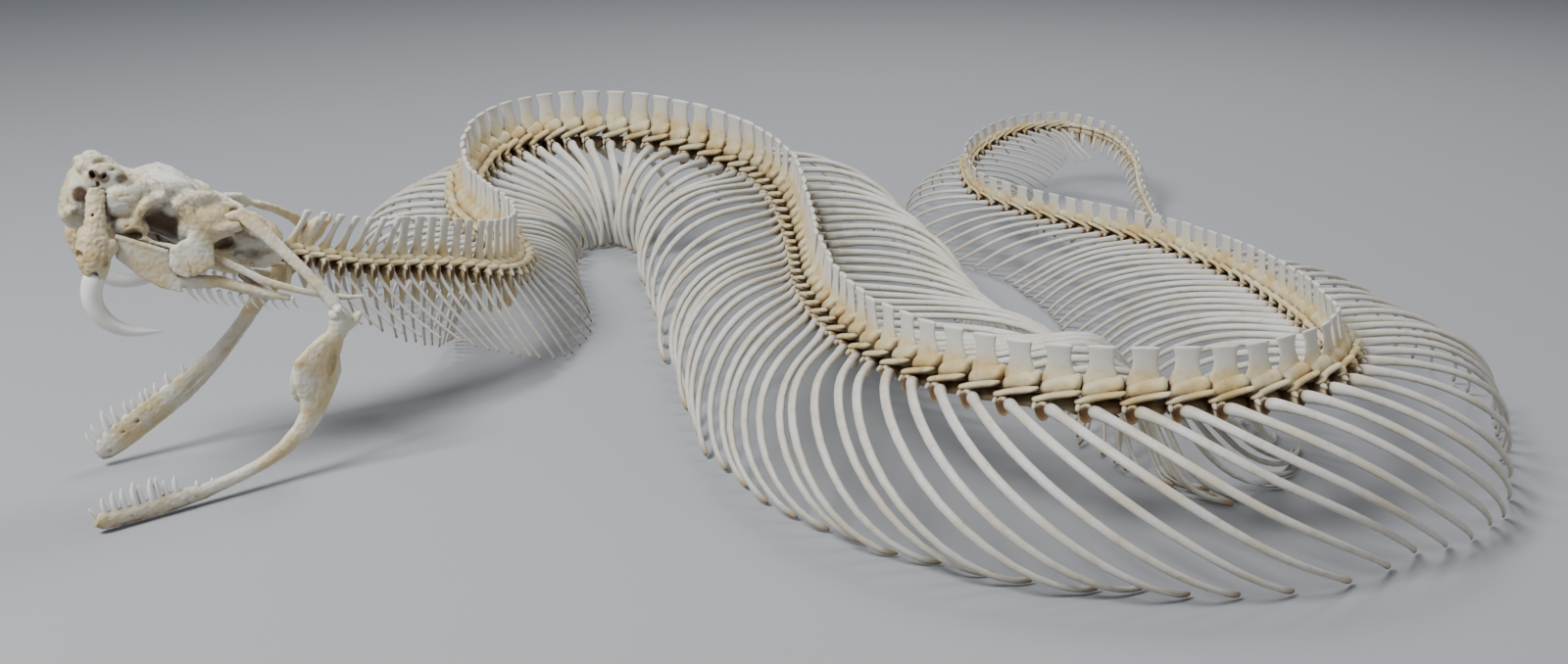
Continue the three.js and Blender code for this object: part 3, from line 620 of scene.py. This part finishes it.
# place along the skull, half width, underside and top
hull = [(49.5, 1.4, 3.6, 8.2), (48.5, 3.8, 1.2, 13), (46.6, 5.2, -0.6, 16.6), (44, 5.8, -0.8, 18.7),
        (41, 6.0, -0.5, 18.4), (37.5, 6.0, 0.6, 17.0), (34, 6.3, 1.5, 16.5), (31, 6.8, 1.6, 18.2),
        (28.5, 7.2, 1.4, 19.3), (25, 7.4, 0.8, 18.8), (21, 7.8, -0.6, 17.0), (17, 8.0, -2.2, 15.2),
        (13, 7.8, -3.4, 13.6), (9, 7.0, -3.9, 11.8), (5, 6.2, -4, 10.6), (1, 5.6, -4, 9.6),
        (-2.5, 4.6, -3.6, 8.4), (-5, 3.2, -1.5, 6.4)]
bar(bm, [ring((x, 0, (low + high) / 2), (0, half, 0), (0, 0, (high - low) / 2))
         for x, half, low, high in hull], 16)
for side in (1, -1):
    lump(bm, (27, side * 5.0, 14.0), (7.4, 3.4, 3.2), (side * -28, 6, 0))
    lump(bm, (15.5, side * 6.6, 6), (7.4, 4.4, 6.6), (side * -10, 18, 0))
    lump(bm, (20, side * 6.2, 10.4), (7.6, 2.6, 4.8), (side * -30, 24, 0))
    lump(bm, (36.4, side * 7.4, 9), (4.6, 1.7, 3.9), (0, 10, 0))
    lump(bm, (33.6, side * 6.8, 12), (4.2, 1.8, 3.2), (0, 20, 0))
    lump(bm, (33.4, side * 7.0, 3), (4.6, 2.6, 3))
    lump(bm, (40.6, side * 5.2, 13), (5.4, 1.7, 5))
    lump(bm, (45.6, side * 3.6, 15.6), (2.2, 1.8, 1.8))
    lump(bm, (43.6, side * 1.6, 17.7), (2.6, 1.8, 1.5))
    lump(bm, (47.2, side * 3.4, 4.2), (1.6, 2, 1.6))
    strut(bm, [((32.8, side * 8.2, 4.0), 1.2, 1.1), ((32.2, side * 8.3, 7.7), 1.3, 1.3),
               ((30.4, side * 8.1, 10.7), 1.5, 1.5), ((27.2, side * 8.2, 12.3), 1.6, 1.7),
               ((23.8, side * 8.8, 11.2), 1.6, 1.5), ((21, side * 9.4, 9), 1.9, 1.6),
               ((18.2, side * 10.0, 6.2), 2.3, 1.6), ((17.3, side * 10.6, 3.5), 3.4, 1.4),
               ((17.7, side * 11.4, 1.0), 4.8, 1.15), ((18.6, side * 12.1, -1.2), 6.2, 0.95),
               ((18.6, side * 12.8, -3.0), 5.9, 0.85), ((18.2, side * 13.2, -4.6), 4.4, 0.75),
               ((17.8, side * 13.5, -5.6), 2.2, 0.5)])
    strut(bm, [((33.4, side * 8, 2), 1.1, 1.0), ((28, side * 8.8, 0.5), 1.0, 0.9),
               ((22.4, side * 10.2, 0.2), 1.0, 0.9)])
    strut(bm, [((24, side * 6.4, 14), 1.6, 1.6), ((17, side * 7.4, 12.4), 1.8, 1.5),
               ((11, side * 6.4, 11.6), 1.6, 1.4), ((5, side * 4, 10), 1.2, 1.2)])
    strut(bm, [((18, side * 8, 6), 2.2, 2.8), ((13, side * 8.8, 6.6), 2.0, 3.0),
               ((8.5, side * 9, 8.4), 1.8, 2.2), ((5.6, side * 8.4, 9.8), 1.2, 1.2)])
    strut(bm, [((5, side * 4.5, 5), 1.6, 2), ((0, side * 6, 4), 1.4, 1.8), ((-3.5, side * 5, 3), 1.0, 1.4)])
lump(bm, (-4.4, 0, 0.2), (2.0, 2.2, 2.0))
lump(bm, (47.6, 0, 3), (1.8, 4.4, 2.0))
hollows = bmesh.new()
for side in (1, -1):
    lump(hollows, (25.7, side * 10.2, 5.7), (5.6, 8.4, 4.7), (0, 22, side * -6))
    lump(hollows, (22.6, side * 5.6, 7.4), (3.4, 4.8, 2.6), (0, 30, 0))
    lump(hollows, (24.8, side * 6.2, 6), (5.2, 4.9, 4.1), (0, 20, 0))
    lump(hollows, (46.4, side * 6.6, 6.4), (1.3, 3, 1.3), (0, 40, 0))
    lump(hollows, (34.6, side * 10.6, 3.6), (1.5, 1.9, 0.7), (0, 30, 0))
    lump(hollows, (36.2, side * 9.4, 10.9), (2.4, 1.3, 0.4), (0, 18, 0))
    lump(hollows, (46.4, side * 5.0, 9.4), (2.2, 3.2, 2.2), (0, 20, 0))
    lump(hollows, (46.0, side * 5.4, 7.2), (1.4, 2.6, 1.2), (0, 60, 0))
    lump(hollows, (42.4, side * 7.2, 12.4), (0.5, 2, 0.9), (0, 20, 0))
    lump(hollows, (38.6, side * 7.8, 13.6), (1.6, 1.8, 0.6), (0, 35, 0))
    lump(hollows, (39.6, side * 6.8, 16.4), (1.1, 1.6, 0.5), (0, 15, 0))
    lump(hollows, (43.9, side * 6, 14.4), (0.6, 2.6, 1.1), (0, 35, 0))
    lump(hollows, (41.3, side * 7.2, 14.6), (0.55, 2.2, 1.0), (0, -25, 0))
    lump(hollows, (36.6, side * 9, 14.6), (2.6, 3.4, 1.5), (0, 22, 0))
    lump(hollows, (39.4, side * 9.6, 12.4), (1.0, 2.6, 0.9), (0, 40, 0))
    lump(hollows, (11, side * 8.4, 2.6), (3.4, 3.4, 2.0), (0, 24, 0))
    lump(hollows, (6.6, side * 8.0, 0.6), (2.4, 3.2, 1.3), (0, 24, 0))
    lump(hollows, (9.4, side * 7.4, -1.7), (1.8, 2.2, 0.9), (0, 10, 0))
    lump(hollows, (3.4, side * 7.2, -1.8), (1.5, 2.4, 0.8), (0, 20, 0))
    lump(hollows, (-0.6, side * 6.4, 1.6), (1.6, 2.4, 1.3), (0, 20, 0))
    lump(hollows, (2.2, side * 7.6, 0.8), (2.2, 3, 1.5), (0, 10, 0))
    lump(hollows, (32.6, side * 10.2, 1.4), (2.6, 2.6, 1.1), (0, 12, 0))
    lump(hollows, (45.4, side * 8, 3.2), (1.2, 3, 2.4))
jaw_bone = bone_material("cream_jaw_bone", (0.63, 0.6, 0.5), (0.57, 0.45, 0.24), (0.12, 0.06, 0.02), 1.0,
                         0.005, 0.42)
ochre_bone = bone_material("ochre_maxilla_bone", (0.6, 0.51, 0.33), (0.5, 0.36, 0.16),
                           (0.09, 0.045, 0.015), 1.0, 0.005, 0.5)
skull_bone = bone_material("cream_skull_bone", (0.6, 0.585, 0.51), (0.56, 0.45, 0.25),
                           (0.07, 0.035, 0.013), 1.0, 0.006, 0.45)
nodes, links = skull_bone.node_tree.nodes, skull_bone.node_tree.links
place = nodes.new("ShaderNodeTexCoord").outputs["Object"]
warp = nodes.new("ShaderNodeTexNoise")
warp.inputs["Scale"].default_value = 180
warp.inputs["Detail"].default_value = 3
links.new(place, warp.inputs["Vector"])
shifted = nodes.new("ShaderNodeMix")
shifted.data_type = "VECTOR"
shifted.inputs["Factor"].default_value = 0.012
links.new(place, shifted.inputs["A"])
links.new(warp.outputs["Color"], shifted.inputs["B"])
plates = nodes.new("ShaderNodeTexVoronoi")
plates.feature = "DISTANCE_TO_EDGE"
plates.inputs["Scale"].default_value = 62
links.new(shifted.outputs["Result"], plates.inputs["Vector"])
seam = nodes.new("ShaderNodeMapRange")
seam.inputs["From Max"].default_value = 0.022
seam.inputs["To Min"].default_value = 0.6
seam.inputs["To Max"].default_value = 0
links.new(plates.outputs["Distance"], seam.inputs["Value"])
lined = nodes.new("ShaderNodeMix")
lined.data_type = "RGBA"
lined.inputs["B"].default_value = (0.2, 0.12, 0.06, 1)
links.new(seam.outputs["Result"], lined.inputs["Factor"])
shader = nodes["Principled BSDF"]
links.new(shader.inputs["Base Color"].links[0].from_socket, lined.inputs["A"])
links.new(lined.outputs["Result"], shader.inputs["Base Color"])
cranium = fused(bm, SKULL_GRAIN, 5, hollows, 0.3)
# Painted shade: the dark patches lie in the eye sockets, nostrils and other hollows of the skull; the
# positive ones are paler bone.
hollow_shade_and_pale_patches(cranium,
        [((25.2, 4.2, 5.6), (7.4, 4.8, 6.2), -1.3), ((45.8, 5.0, 9.0), (2.4, 3, 2.7), -0.9),
         ((36.6, 7.4, 14.6), (3, 3, 2), -0.7), ((43.6, 6, 14.4), (1.6, 3, 1.8), -0.8),
         ((41.2, 7, 14.2), (1.6, 3, 1.8), -0.8), ((9.5, 8, 2.0), (5, 3, 2.6), -0.7),
         ((2.5, 6, 0.5), (4, 3, 2.4), -0.5), ((33, 9.4, 2.2), (2.6, 3, 1.8), -0.7),
         ((39, 9, 3), (2.4, 3, 2.4), -0.6), ((27, 4.5, 16), (6, 4.5, 3.6), 0.9),
         ((36.5, 8.6, 8.4), (3, 2.4, 2.4), 0.7), ((15, 6, 13), (4, 4, 2.4), 0.5)])
cranium.transform(HEAD)
piece("cranium_bone", cranium, skull_bone, ["cranium"])

# ---- Upper jaws and fangs ----
# A short, heavy maxilla hinges under each side of the snout and carries one long hollow fang. The left
# fang is swung forward and the right one is folded back. The teeth are glossy, greyish white enamel.
tooth_ivory = bone_material("tooth_enamel", (0.8, 0.8, 0.78), (0.76, 0.75, 0.7), (0.4, 0.28, 0.15), 0.5,
                            0.002, 0.3, 0.3)
tooth_ivory.node_tree.nodes["Principled BSDF"].inputs["Coat Weight"].default_value = 0.35
tooth_ivory.node_tree.nodes["Principled BSDF"].inputs["Coat Roughness"].default_value = 0.15
for word, side in (("left", 1), ("right", -1)):
    bm = bmesh.new()
    strut(bm, [((42.6, side * 7.5, 11.6), 1.8, 0.7), ((42.5, side * 8.2, 9.2), 2.4, 1.1),
               ((42.2, side * 9.3, 5.6), 2.3, 1.7), ((41.9, side * 10.4, 2.4), 2.7, 2.3),
               ((41.6, side * 11, -0.8), 4.2, 2.8), ((41.2, side * 11.2, -4), 4.5, 3.1),
               ((40.4, side * 11.2, -7), 3.6, 3.0), ((39.7, side * 11, -9.4), 2.6, 2.5),
               ((39.6, side * 11, -10.6), 2, 2)], 12)
    lump(bm, (43.6, side * 10, 0), (2, 2.4, 2.6))
    lump(bm, (38.2, side * 11.4, -1.6), (2.4, 2, 2.4))
    hollows = bmesh.new()
    lump(hollows, (44.9, side * 12.4, -4.6), (1.5, 1.6, 1.3))
    lump(hollows, (40.6, side * 13.6, -9.2), (1.2, 1.2, 1.5))
    lump(hollows, (42.9, side * 11.6, 5.4), (0.5, 1.4, 0.5))
    lump(hollows, (38.4, side * 13.6, -5), (0.8, 1.0, 1.6))
    jaw = fused(bm, SLIM_GRAIN, 3, hollows, 0.5)
    jaw.transform(HEAD)
    piece(f"maxilla_{word}", jaw, ochre_bone, [f"fang_jaw_{word}"])
    if side > 0:
        fang = [(39.6, 11, -8, 2.6), (40.3, 11, -11, 2.65), (40.2, 11, -14.2, 2.5),
                (38.9, 11, -17.2, 2.35), (36.6, 11, -19.8, 2.15), (33.6, 11, -21.5, 1.85),
                (30.2, 11, -22.2, 1.5), (26.5, 11, -21.9, 1.05), (23.4, 11, -21.3, 0.5),
                (22.1, 11, -21, 0.08)]
    else:
        fang = [(40, -11, -8, 2.4), (38, -10.6, -11.6, 2.3), (34.6, -10, -13.8, 2.1),
                (30.6, -9.5, -14.6, 1.9), (26.6, -9.2, -13.8, 1.6), (22.6, -9, -12, 1.2),
                (19.4, -9, -10, 0.7), (17.6, -9, -8.8, 0.1)]
    bm = bmesh.new()
    strut(bm, [((x, y, z), size, 1.08 * size) for x, y, z, size in fang], 12, Vector((0, 1, 0)))
    bmesh.ops.transform(bm, matrix=HEAD, verts=bm.verts)
    piece(f"fang_{word}", mesh_of(bm, f"fang_{word}"), tooth_ivory, rounding=2)

# ---- Palate bones ----
# On each side a broad blade, the ectopterygoid, runs back from the maxilla to the long pterygoid rod, which
# reaches the jaw joint and carries a row of small hooked teeth. They are thin yellow-cream bone.
SHEET_THICKNESS = 1.3
REAR_TEETH, FRONT_TEETH = 11, 4
for word, side in (("left", 1), ("right", -1)):
    bm = bmesh.new()
    outline = [(37, 11, 1.6), (30.6, 11.7, 0.6), (24.4, 12.1, -0.4), (22, 12.5, -4.6), (19.3, 13.1, -10.2),
               (24.8, 12.6, -9.9), (30.4, 12, -7.6), (36, 11.4, -4.2)]
    corners = [bm.verts.new((x, side * y, z)) for x, y, z in outline]
    sheet = bm.faces.new(corners)
    top = bmesh.ops.extrude_face_region(bm, geom=[sheet])["geom"]
    skin = [item for item in top if isinstance(item, bmesh.types.BMVert)]
    bmesh.ops.translate(bm, vec=(0, side * -SHEET_THICKNESS, 0), verts=skin)
    strut(bm, [((37.2, side * 10.6, 1.0), 0.8, 0.7), ((30.6, side * 11.2, 0), 0.8, 0.75),
               ((24.4, side * 11.7, -0.9), 0.8, 0.7)])
    strut(bm, [((25, side * 11.6, -7.6), 1.2, 1.0), ((18, side * 11.4, -7.4), 2.0, 1.4),
               ((11, side * 10.6, -6.6), 1.6, 1.6), ((4, side * 11, -7.4), 1.4, 1.7),
               ((-2, side * 11.6, -8), 1.2, 1.5), ((-7, side * 12.6, -7.8), 0.9, 0.9)])
    strut(bm, [((16, side * 9.4, 0.6), 1.0, 0.8), ((12.4, side * 9.4, -1), 1.2, 0.8),
               ((6.3, side * 10.7, -2.6), 1.1, 0.8), ((0.9, side * 12.2, -4.4), 1.1, 0.8),
               ((-7, side * 14, -5.2), 0.9, 0.7), ((-15, side * 15.6, -5.4), 0.8, 0.7),
               ((-20, side * 16.4, -4.8), 0.7, 0.6), ((-24.4, side * 17, -3.8), 0.5, 0.4)])
    strut(bm, [((6, side * 9.4, -4), 1, 0.8), ((0, side * 9.5, -7), 1.2, 1), ((-3, side * 10, -8), 1, 1)])
    strut(bm, [((33, side * 6.2, -2.4), 1.2, 1.6), ((27, side * 6.4, -4.4), 1, 1.8),
               ((21, side * 7.4, -6), 1, 1.8), ((15, side * 8.6, -7), 0.9, 1.4)])
    blade = fused(bm, SLIM_GRAIN, 3, None, 0.2)
    blade.transform(HEAD)
    piece(f"palate_{word}_bone", blade, jaw_bone, [f"palate_{word}"])
    bm = bmesh.new()
    for i in range(REAR_TEETH):
        share = i / (REAR_TEETH - 1)
        root = Vector((18.6 - 26.5 * share, side * (11.2 - 0.4 * share), -7.6 - 1.0 * math.sin(3 * share)))
        size = 1.0 - 0.35 * share
        strut(bm, [(root, 0.95 * size, 0.85 * size),
                   (root + Vector((-0.5, 0, -1.7)) * size, 0.8 * size, 0.72 * size),
                   (root + Vector((-1.8, -side * 0.2, -3.4)) * size, 0.52 * size, 0.48 * size),
                   (root + Vector((-4.0, -side * 0.3, -4.9)) * size, 0.06, 0.06)], 6)
    for i in range(FRONT_TEETH):
        root = Vector((32 - 3.6 * i, side * (6.6 + 0.3 * i), -4.4 - 0.9 * i))
        strut(bm, [(root, 0.8, 0.8), (root + Vector((-0.6, 0, -1.6)), 0.65, 0.65),
                   (root + Vector((-2.6, 0, -3.2)), 0.06, 0.06)], 6)
    bmesh.ops.transform(bm, matrix=HEAD, verts=bm.verts)
    piece(f"palate_teeth_{word}", mesh_of(bm, f"palate_teeth_{word}"), tooth_ivory, rounding=1)

# ---- Jaw hangers ----
# The quadrate is a long flat bar that hangs the lower jaw from the back of the skull. Each is one slim
# cream bone with a knuckle at its lower end, glued to the temple bone above.
for word, side in (("left", 1), ("right", -1)):
    bm = bmesh.new()
    if side > 0:
        strut(bm, [((9.4, 9.4, 12), 1.2, 1.2), ((6.8, 10.4, 10.6), 2.4, 1.2), ((3.2, 12, 8.2), 2.0, 1.1),
                   ((-2.2, 14.3, 4.6), 1.7, 1.1), ((-7.9, 16.9, 0.6), 1.5, 1.2),
                   ((-13.2, 19.2, -3.4), 1.5, 1.3), ((-16, 20, -6), 1.9, 1.7),
                   ((-17.4, 20.2, -7.6), 1.4, 1.6)])
        lump(bm, (-17, 20.6, -7.2), (1.4, 2.6, 1.5))
    else:
        strut(bm, [((9.8, -8, 11.8), 1.2, 1.2), ((5, -10, 11.8), 1.8, 1.2), ((0, -12.2, 10.8), 1.5, 1.1),
                   ((-5.3, -15, 9.8), 1.5, 1.1), ((-11, -18, 8), 1.7, 1.2), ((-15.6, -20.6, 5.6), 1.9, 1.5),
                   ((-17, -21.6, 4), 1.4, 1.5)])
        lump(bm, (-16.6, -21.8, 4.4), (1.5, 2.6, 1.6))
    strut(bm, [((14, side * 8.6, 8.6), 1, 1), ((10, side * 9.6, 10.4), 1.6, 1.1),
               ((5, side * 10.2, 11), 1.4, 1), ((2.4, side * 10.6, 10.4), 0.7, 0.6)])
    hanger = fused(bm, SLIM_GRAIN, 3, None, 0.2)
    hanger.transform(HEAD)
    piece(f"jaw_hanger_{word}_bone", hanger, jaw_bone, [f"jaw_hanger_{word}"])

# ---- Lower jaws ----
# Each half of the lower jaw is a long curved bone: a hollowed crest and a saddle at the joint, a slim shaft
# and a front part with a row of needle teeth. The two halves spread apart and end just above the floor.
# "bone" rows: forward from the joint, height, half depth, half thickness
# "teeth" rows: forward from the joint, height of the root, forward reach of the tip, height of the tooth
# "pores" rows: forward from the joint, height, half size
JAWS = {"left": {"joint": (-121.6, -127.2), "runs": (-0.733, -0.680),
                 "bone": [(-1.0, 40.6, 2.4, 1.8), (0.8, 38.4, 3.2, 2.2), (2.6, 35.4, 2.7, 1.8),
                          (5.4, 32.2, 4.6, 1.7), (8.0, 28.2, 7.2, 1.7), (9.0, 23.8, 6.2, 1.7),
                          (9.6, 19.4, 4.3, 1.7), (11.2, 15.6, 3.3, 1.8), (14.6, 11.8, 2.7, 1.8),
                          (19.6, 8.6, 2.1, 1.6), (25.6, 6.2, 1.7, 1.5), (33, 4.4, 1.6, 1.4),
                          (41, 3.2, 2.0, 1.3), (47.4, 3.0, 2.5, 1.4), (55, 2.7, 2.4, 1.4),
                          (62, 2.6, 2.3, 1.4), (66.6, 2.9, 2.3, 1.5), (68.4, 3.3, 1.6, 1.2)],
                 "pores": [(66, 1.6, 0.5), (60.4, 2.4, 0.5), (44, 2.6, 0.6)],
                 "teeth": [(67.0, 4.2, 2.4, 2.4), (65.4, 4.9, 0.8, 3.4), (63.2, 5, 0.4, 4.2),
                           (60.8, 5, 0.5, 4.4), (58.2, 5, 0.2, 5.2), (56.2, 5, 1.0, 4.0),
                           (54.0, 5, 0.2, 5.2), (52.4, 5, 0.4, 4.9), (50.2, 5.2, 0.9, 3.4),
                           (48.0, 5.3, 0.3, 3.6), (42.6, 5, 0.4, 1.4), (38.6, 4.6, 0.4, 1.4)],},
        "right": {"joint": (-139, -92), "runs": (-0.778, -0.629),
                  "bone": [(-4.5, 56.2, 2.0, 1.8), (-2.0, 54, 3.0, 2.0), (1.6, 50.6, 2.6, 1.7),
                           (6, 46.4, 3.8, 1.6), (11, 41.6, 3.2, 1.6), (16.4, 36.4, 2.3, 1.6),
                           (22, 29.9, 2.2, 1.6), (28, 24, 2.5, 1.5), (34, 19.6, 3.3, 1.5),
                           (40, 15.8, 3.9, 1.6), (46, 12.6, 4.1, 1.6), (52, 9.4, 4.2, 1.6),
                           (57, 6.7, 4.1, 1.6), (60.6, 4.6, 3.4, 1.6), (62.4, 3.4, 2.2, 1.2)],
                  "pores": [(60, 4, 0.6), (52, 10.5, 0.6), (56, 8.4, 0.5)],
                  "teeth": [(61.4, 4.6, 3.4, 4.8), (60, 7.0, 3.2, 4.4), (58.6, 9.6, 1.6, 5.2),
                            (56.0, 10.8, 1.5, 4.6), (53.0, 12.4, 1.4, 3.6), (51.2, 13.2, 1.2, 3.0),
                            (48.8, 14.6, 1.1, 3.2), (47.4, 15.2, 1.0, 3.2), (45.0, 16.2, 1.0, 3.2),
                            (41.8, 18, 0.9, 3.6), (37.4, 20.2, 0.9, 3.2), (34.8, 21, 0.7, 1.8)],},}
JAW_CLEARANCE = 0.02         # lowest height of a jaw bone, in millimetres
for word, jaw in JAWS.items():
    runs = Vector((*jaw["runs"], 0))
    across = Vector((0, 0, 1)).cross(runs)
    joint = Vector((*jaw["joint"], 0))

    def spot(s, z, aside=0):
        return joint + runs * s + across * aside + Vector((0, 0, z))

    bm = bmesh.new()
    rings = []
    rows = jaw["bone"]
    for i, (s, z, deep, thick) in enumerate(rows):
        before, after = rows[max(i - 1, 0)], rows[min(i + 1, len(rows) - 1)]
        along = (spot(after[0], after[1]) - spot(before[0], before[1])).normalized()
        rings.append(placed(across.cross(along) * deep, across * thick, along, spot(s, z)))
    bar(bm, rings, 12)
    hollows = bmesh.new()
    turn = math.degrees(math.atan2(runs.y, runs.x))
    if word == "left":
        lump(bm, spot(-2.6, 38.2, 0), (3.4, 1.8, 1.4), (0, 38, turn))
        lump(bm, spot(2.4, 41, 0), (1.6, 2.0, 1.6), (0, 0, turn))
        lump(bm, spot(12.4, 25.4, -1.2), (3.2, 0.9, 6.2), (0, -10, turn))
        lump(hollows, spot(4.8, 28.6, 2.3), (1.5, 2.0, 4.6), (0, -14, turn))
        lump(hollows, spot(9.6, 24.0, 2.9), (1.6, 1.6, 4.2), (0, -4, turn))
        lump(hollows, spot(0, 42.4, 0), (1.7, 2.6, 1.5), (0, 30, turn))
    else:
        lump(bm, spot(-5.2, 55.8, 0), (2.6, 1.8, 1.4), (0, 38, turn))
        lump(hollows, spot(24, 27.6, 1.8), (9, 1.1, 1.1), (0, 46, turn))
        lump(hollows, spot(47, 9.6, 1.8), (7, 1.1, 1.4), (0, 28, turn))
        lump(hollows, spot(36, 18, 1.9), (5, 0.9, 0.8), (0, 34, turn))
    for s, z, size in jaw["pores"]:
        lump(hollows, spot(s, z, 1.6), (size, 0.9, size))
        lump(hollows, spot(s, z, -1.6), (size, 0.9, size))
    half = fused(bm, SLIM_GRAIN, 3, hollows, 0.22)
    for vert in half.vertices:
        vert.co = to_room(Vector((vert.co.x, vert.co.y, max(vert.co.z, JAW_CLEARANCE))))
    piece(f"lower_jaw_{word}_bone", half, jaw_bone, [f"lower_jaw_{word}"])
    bm = bmesh.new()
    for s, z, fore, tall in jaw["teeth"]:
        bend = 0.35 * tall
        stations = [(0, -0.6, 0.62), (0.45 * fore + 0.22 * bend, 0.4, 0.5),
                    (0.9 * fore + 0.2 * bend, 0.75, 0.3), (fore, 1, 0.05)]
        rings = []
        for shift, rise, size in stations:
            size = size * (1.2 + 0.2 * tall)
            rings.append(ring(spot(s + shift, z + 1.12 * rise * tall), runs * size, across * size * 0.85))
        bar(bm, rings, 6)
    bm.transform(Matrix.Scale(MM, 4) @ Matrix.Translation((-MIDDLE[0], -MIDDLE[1], 0)))
    piece(f"lower_teeth_{word}", mesh_of(bm, f"lower_teeth_{word}"), tooth_ivory, rounding=1)

# ---- Room ----
# A plain pale table top under the skeleton, three soft area lights, a dim sky and a camera a little above it.
TABLE_HALF, TABLE_BACK, TABLE_DROP = 4, 1.5, 0.0002
CAMERA_PLACE = (-8, -538, 166.4)   # in millimetres
CAMERA_DOWN = 17.65
LENS, FILM = 38.31, 36
bm = bmesh.new()
bmesh.ops.create_grid(bm, x_segments=1, y_segments=1, size=TABLE_HALF)
bmesh.ops.translate(bm, vec=(0, TABLE_BACK, -TABLE_DROP), verts=bm.verts)
floor = bpy.data.objects.new("table_top", mesh_of(bm, "table_top"))
bpy.context.scene.collection.objects.link(floor)
paper = bpy.data.materials.new("pale_table")
paper.use_nodes = True
paper.node_tree.nodes["Principled BSDF"].inputs["Base Color"].default_value = (0.29, 0.3, 0.32, 1)
paper.node_tree.nodes["Principled BSDF"].inputs["Roughness"].default_value = 0.9
floor.data.materials.append(paper)
world = bpy.data.worlds.new("pale_room")
world.use_nodes = True
world.node_tree.nodes["Background"].inputs["Color"].default_value = (0.80, 0.84, 0.90, 1)
world.node_tree.nodes["Background"].inputs["Strength"].default_value = 0.22
bpy.context.scene.world = world
for name, place, aim, size, power in (
        ("window_light", (-0.5, -0.45, 0.75), (0, 0, 0), 0.3, 13.0),
        ("right_fill", (0.8, -0.5, 0.45), (0, 0, 0), 0.5, 2.0),
        ("top_light", (0.15, 0.55, 0.85), (0, 0.05, 0), 0.4, 6.0)):
    light = bpy.data.lights.new(name, "AREA")
    light.energy = power
    light.size = size
    lamp = bpy.data.objects.new(name, light)
    lamp.location = place
    lamp.rotation_euler = (Vector(aim) - Vector(place)).to_track_quat("-Z", "Y").to_euler()
    bpy.context.scene.collection.objects.link(lamp)
view = bpy.data.cameras.new("camera")
view.sensor_width = FILM
view.lens = LENS
view.clip_start = 0.01
camera = bpy.data.objects.new("camera", view)
camera.location = to_room(Vector(CAMERA_PLACE))
camera.rotation_euler = (math.radians(90 - CAMERA_DOWN), 0, 0)
bpy.context.scene.collection.objects.link(camera)
bpy.context.scene.camera = camera
